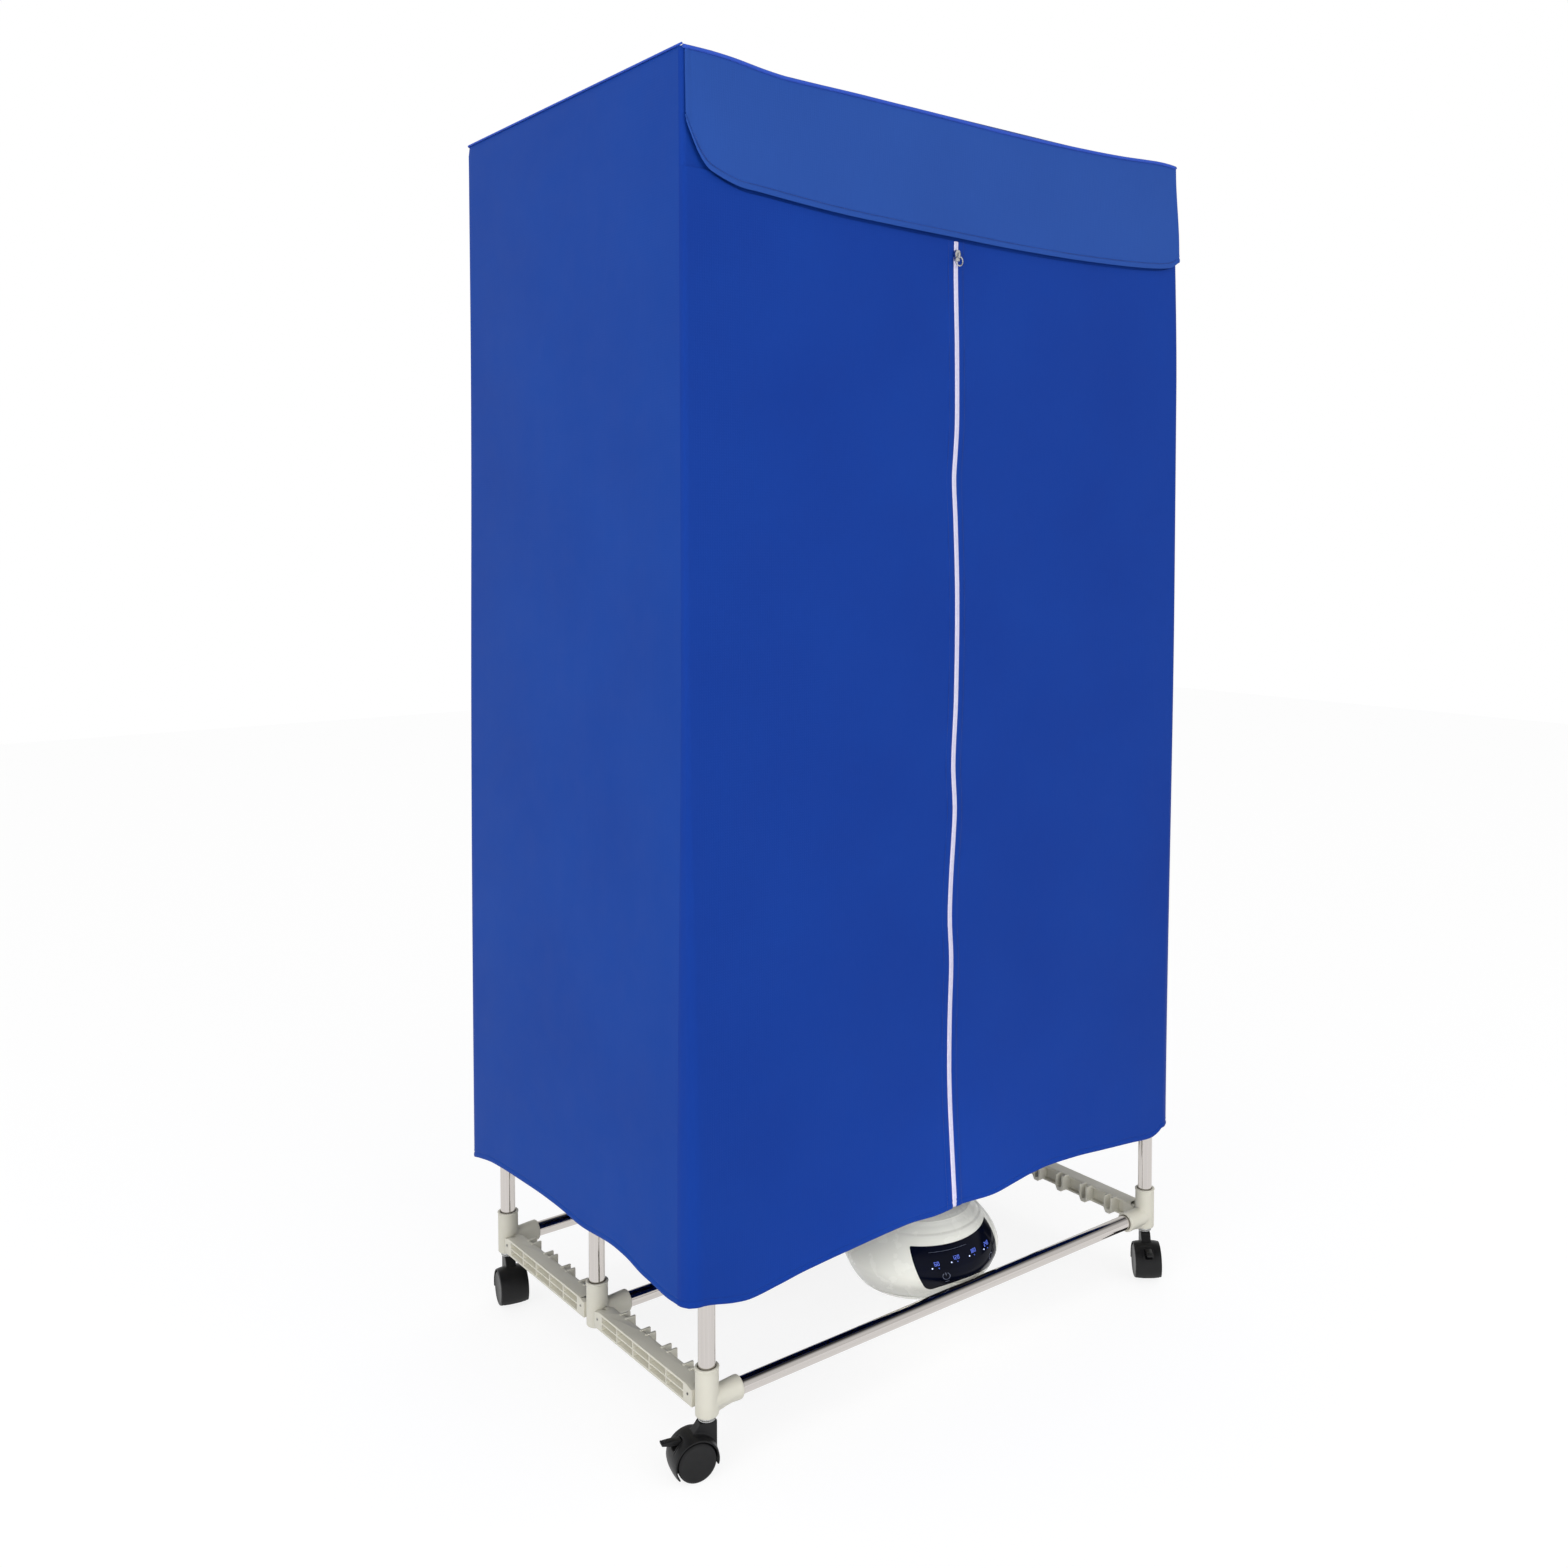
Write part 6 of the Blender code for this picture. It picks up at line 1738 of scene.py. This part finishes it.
def panel_layer(bm, depth):
    """A grid over the panel, drawn in at its four corners; returns its border, in order."""
    low_draw, low_height = PANEL_LOW_CORNER_SHARES
    high_draw, high_height, high_start = PANEL_HIGH_CORNER_SHARES
    grid = []
    for column in range(PANEL_COLUMNS + 1):
        line = []
        for row in range(PANEL_ROWS + 1):
            up = 0.5 - 0.5 * cos(pi * row / PANEL_ROWS)
            reach = 1 - low_draw * rounding(1 - up / low_height)
            reach -= high_draw * rounding((up - high_start) / high_height)
            line.append(bm.verts.new(panel_point((2 * column / PANEL_COLUMNS - 1) * reach, up, depth)))
        grid.append(line)
    for first, second in zip(grid, grid[1:]):
        for row in range(PANEL_ROWS):
            bm.faces.new((first[row], second[row], second[row + 1], first[row + 1]))
    top, foot = [line[-1] for line in grid[1:-1]], [line[0] for line in grid[1:-1]]
    return grid[0] + top + grid[-1][::-1] + foot[::-1]


def build_panel(gloss, marks, faint, glow):
    """The touch panel with its prints: hours with their icons and lamps, two rings and a line."""
    bm = bmesh.new()
    bridged(bm, *[panel_layer(bm, depth) for depth in PANEL_DEPTHS])
    bmesh.ops.remove_doubles(bm, verts=bm.verts, dist=MERGE_GAP)
    panel = bevelled(mesh_from(bm, "panel"), PANEL_EDGE, 2, 50)
    piece("heater_panel", panel, gloss, "root", "black_panel", "heater_control_panel")
    for k, (number, place) in enumerate(HOURS_SHARES.items(), 1):
        shifts = (LAMP_SHIFT_SHARES, ICON_SHIFT_SHARES)
        lamp, icon = [[along + step for along, step in zip(place, shift)] for shift in shifts]
        draw(f"panel_hours_{k}", marks, number_quads(number), place, HOURS_MM)
        draw(f"panel_lamp_{k}", glow, ring_quads(0.0, 0.5, 16), lamp, LAMP_MM)
        draw(f"panel_icon_{k}", marks, ring_quads(0.22, 0.40, 14), icon, ICON_MM)
    draw("panel_power_ring", faint, ring_quads(0.42, 0.47, 40, 0.16), POWER_SHARES, POWER_MM)
    draw("panel_power_bar", faint, [bar(-0.03, 0.12, 0.03, 0.50)], POWER_SHARES, POWER_MM)
    draw("panel_power_line", faint, [bar(-0.5, -0.05, 0.5, 0.05)], POWER_LINE_SHARES, POWER_LINE_MM)
    draw("panel_mode_ring", faint, ring_quads(0.42, 0.47, 40), MODE_SHARES, MODE_MM)
    dashes = [bar(x, 0, x + 1, 0.22) for x in range(-46, 4)]
    draw("panel_top_line", faint, dashes, TOP_LINE_SHARES, TOP_LINE_MM)


def bar(x0, y0, x1, y1):
    return [(x0, y0), (x1, y0), (x1, y1), (x0, y1)]


def ring_quads(inner, outer, steps, gap=0.0):
    """Quads of a ring, or a disc where inner is 0, in units of its own size, open at the top by a gap."""
    quads = []
    for k in range(steps):
        turns = [pi / 2 + 2 * pi * (gap / 2 + (1 - gap) * (k + step) / steps) for step in (0, 1)]
        outside = [(outer * cos(turn), outer * sin(turn)) for turn in turns]
        inside = [(inner * cos(turn), inner * sin(turn)) for turn in reversed(turns)]
        quads.append(outside + inside)
    return quads


def number_quads(number):
    """Quads of plain seven-stroke digits, one unit high."""
    width, line = DIGIT_WIDTH_SHARE, DIGIT_LINE_SHARE
    strokes = {
        "a": (0, 1 - line, width, 1), "b": (width - line, 0.5, width, 1), "c": (width - line, 0, width, 0.5),
        "d": (0, 0, width, line), "e": (0, 0, line, 0.5), "f": (0, 0.5, line, 1),
        "g": (0, 0.5 - line / 2, width, 0.5 + line / 2),
    }
    start = -DIGIT_STEP_SHARE * len(number) / 2
    quads = []
    for k, digit in enumerate(number):
        for stroke in DIGIT_STROKES[digit]:
            x0, y0, x1, y1 = strokes[stroke]
            step = k * DIGIT_STEP_SHARE
            quads.append(bar(x0 + start + step, y0 - 0.5, x1 + start + step, y1 - 0.5))
    return quads


def draw(name, look, quads, place, size):
    """Lays flat quads on the panel as a thin print, at a place across and up it, with the size in mm."""
    across, up = place
    half_width, height = PANEL_FLAT_MM
    bm = bmesh.new()
    for quad in quads:
        spots = [(across + x * size / half_width, up + y * size / height) for x, y in quad]
        pairs = [[bm.verts.new(panel_point(*spot, depth)) for depth in PRINT_DEPTHS] for spot in spots]
        lower, upper = zip(*pairs)
        bm.faces.new(upper)
        bm.faces.new(list(reversed(lower)))
        bridged(bm, lower, upper)
    bmesh.ops.remove_doubles(bm, verts=bm.verts, dist=PRINT_MERGE_GAP)
    piece(name, mesh_from(bm, name), look, "root", "black_panel")


# Studio

def build_world():
    """Soft white light all round; polished tubes see it with a dark card overhead and one to the right."""
    world = bpy.data.worlds.new("studio")
    bpy.context.scene.world = world
    world.use_nodes = True
    tree = world.node_tree
    tree.nodes.clear()
    rays = add_node(tree, "ShaderNodeLightPath").outputs
    direction = add_node(tree, "ShaderNodeTexCoord").outputs["Generated"]
    parts = add_node(tree, "ShaderNodeSeparateXYZ", links={"Vector": direction})
    overhead = add_node(
        tree, "ShaderNodeMapRange", {"From Min": 0.55, "From Max": 0.80, "To Min": 1.0, "To Max": 0.05},
        {"Value": parts.outputs["Z"]},
    )
    toward_card = add_node(
        tree, "ShaderNodeVectorMath", {1: DARK_CARD_WAY}, {0: direction}, operation="DOT_PRODUCT",
    )
    card = add_node(
        tree, "ShaderNodeMapRange", {"From Min": 0.90, "From Max": 0.95, "To Min": 1.0, "To Max": 0.04},
        {"Value": toward_card.outputs["Value"]},
    )
    seen = add_node(
        tree, "ShaderNodeMath", links={0: overhead.outputs["Result"], 1: card.outputs["Result"]},
        operation="MULTIPLY",
    )
    level = add_node(
        tree, "ShaderNodeMath", {1: MIRROR_STRENGTH}, {0: seen.outputs["Value"]}, operation="MULTIPLY",
    )
    through = add_node(
        tree, "ShaderNodeMath", links={0: rays["Is Camera Ray"], 1: rays["Is Transmission Ray"]},
        operation="MAXIMUM",
    )
    white = linear("#FFFFFF")
    soft = add_node(tree, "ShaderNodeBackground", {"Color": white, "Strength": WORLD_STRENGTH})
    mirrored = add_node(tree, "ShaderNodeBackground", {"Color": white}, {"Strength": level.outputs["Value"]})
    shown = add_node(tree, "ShaderNodeBackground", {"Color": white, "Strength": 1.0})
    lit = add_node(tree, "ShaderNodeMixShader", links={
        "Fac": rays["Is Glossy Ray"], 1: soft.outputs["Background"], 2: mirrored.outputs["Background"],
    })
    surface = add_node(tree, "ShaderNodeMixShader", links={
        "Fac": through.outputs["Value"], 1: lit.outputs["Shader"], 2: shown.outputs["Background"],
    })
    add_node(tree, "ShaderNodeOutputWorld", links={"Surface": surface.outputs["Shader"]})


def build_floor():
    """A plain pale floor that glows a little where it is seen, so that it keeps only the soft shadow."""
    half = FLOOR_SIZE / 2
    mesh = bpy.data.meshes.new("floor")
    corners = [(-half, -half, 0), (half, -half, 0), (half, half, 0), (-half, half, 0)]
    mesh.from_pydata(corners, [], [(0, 1, 2, 3)])
    look, tree, shader = new_look("pale_floor", "#E6E6E6", 0.9)
    rays = add_node(tree, "ShaderNodeLightPath").outputs
    watched = add_node(
        tree, "ShaderNodeMath", links={0: rays["Is Camera Ray"], 1: rays["Is Glossy Ray"]},
        operation="MAXIMUM",
    )
    share = add_node(
        tree, "ShaderNodeMath", {1: FLOOR_GLOW_SHARE}, {0: watched.outputs["Value"]}, operation="MULTIPLY",
    )
    glow = add_node(tree, "ShaderNodeEmission", {"Color": linear("#FFFFFF"), "Strength": FLOOR_GLOW})
    surface = add_node(tree, "ShaderNodeMixShader", links={
        "Fac": share.outputs["Value"], 1: shader.outputs["BSDF"], 2: glow.outputs["Emission"],
    })
    tree.links.new(surface.outputs["Shader"], tree.nodes["Material Output"].inputs["Surface"])
    mesh.materials.append(look)
    new_object("floor", mesh)


def aimed_lamp(light, place, aim):
    lamp = bpy.data.objects.new(light.name, light)
    lamp.location = place
    lamp.rotation_euler = (Vector(aim) - Vector(place)).to_track_quat("-Z", "Y").to_euler()
    lamp.visible_glossy = False
    bpy.context.scene.collection.objects.link(lamp)


def build_lamps():
    """Two soft boxes, and a narrow lamp near the floor for the heater in the shade under the hem."""
    for name, (place, power) in SOFTBOXES.items():
        light = bpy.data.lights.new(name, "AREA")
        light.size = SOFTBOX_SIZE
        light.energy = power
        aimed_lamp(light, place, SOFTBOX_AIM)
    light = bpy.data.lights.new("low_fill", "SPOT")
    light.energy = LOW_FILL_POWER
    light.spot_size = LOW_FILL_ANGLE
    light.spot_blend = 1.0
    light.shadow_soft_size = LOW_FILL_SIZE
    aimed_lamp(light, LOW_FILL_PLACE, LOW_FILL_AIM)


def build_camera():
    camera = bpy.data.cameras.new("camera")
    camera.lens = CAMERA_LENS
    camera.shift_x, camera.shift_y = CAMERA_SHIFT
    eye = bpy.data.objects.new("camera", camera)
    eye.location = CAMERA_PLACE
    turn = Matrix.Rotation(-CAMERA_YAW, 4, "Z") @ Matrix.Rotation(pi / 2 + CAMERA_PITCH, 4, "X")
    eye.rotation_euler = (turn @ Matrix.Rotation(CAMERA_ROLL, 4, "Z")).to_euler()
    bpy.context.scene.collection.objects.link(eye)
    bpy.context.scene.camera = eye


def build():
    cream = moulded_polypropylene()
    upright = polished_tube("polished_stainless_upright", (1, 1, 0.01))
    crosswise = polished_tube("polished_stainless_crosswise", (0.01, 1, 1))
    nylon, zinc = black_nylon(), zinc_plate()
    cloth = polyester_cloth("blue_polyester_cloth", "#083693", "#0D3F9E")
    # The walls and top get a lighter copy of the door cloth: painted light, for the light that falls more on
    # the left wall.
    lit_side_cloth = polyester_cloth("blue_polyester_sides_painted_light", "#073C97", "#0B45A3")
    # The flap gets a lighter copy of the door cloth: painted light, for the light its tilted face catches.
    lit_flap_cloth = polyester_cloth("blue_polyester_flap_painted_light", "#254D9F", "#2A54A8")
    # The welts get a lighter copy still: a painted highlight, for the light caught on the rounded top edges.
    welt = polyester_cloth("blue_welt_painted_highlight", "#3052BC", "#3C60C8")
    thread, tape = sewing_thread(), zip_webbing()
    abs_shell, gloss = heater_abs(), acrylic_panel()
    marks = panel_print("panel_lit_marks", "#3E5CE0", "#6E88F2", 0.42)
    faint = panel_print("panel_faint_marks", "#5C6378", "#747B90", 0.03)
    glow = panel_print("panel_lamp_glow", "#A9BEFF", "#DDE6FF", 1.2)
    build_tubes(upright, crosswise)
    build_connectors(cream)
    build_rack_bars(cream, zinc)
    build_casters(nylon, zinc)
    build_walls(lit_side_cloth)
    build_top(lit_side_cloth)
    build_doors(cloth)
    build_header(cloth)
    build_flap(lit_flap_cloth)
    build_piping(welt)
    build_zip(tape, zinc, thread)
    build_heater(abs_shell, gloss, marks, faint, glow)
    inside = {"fan_motor": zinc, "heater_fan": fan_polymer(), "heating_element": element_aluminium()}
    for node, look in inside.items():
        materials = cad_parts[node].data.materials
        materials.clear()
        materials.append(look)
    bpy.context.scene.view_settings.view_transform = "Standard"
    build_world()
    build_floor()
    build_lamps()
    build_camera()


build()
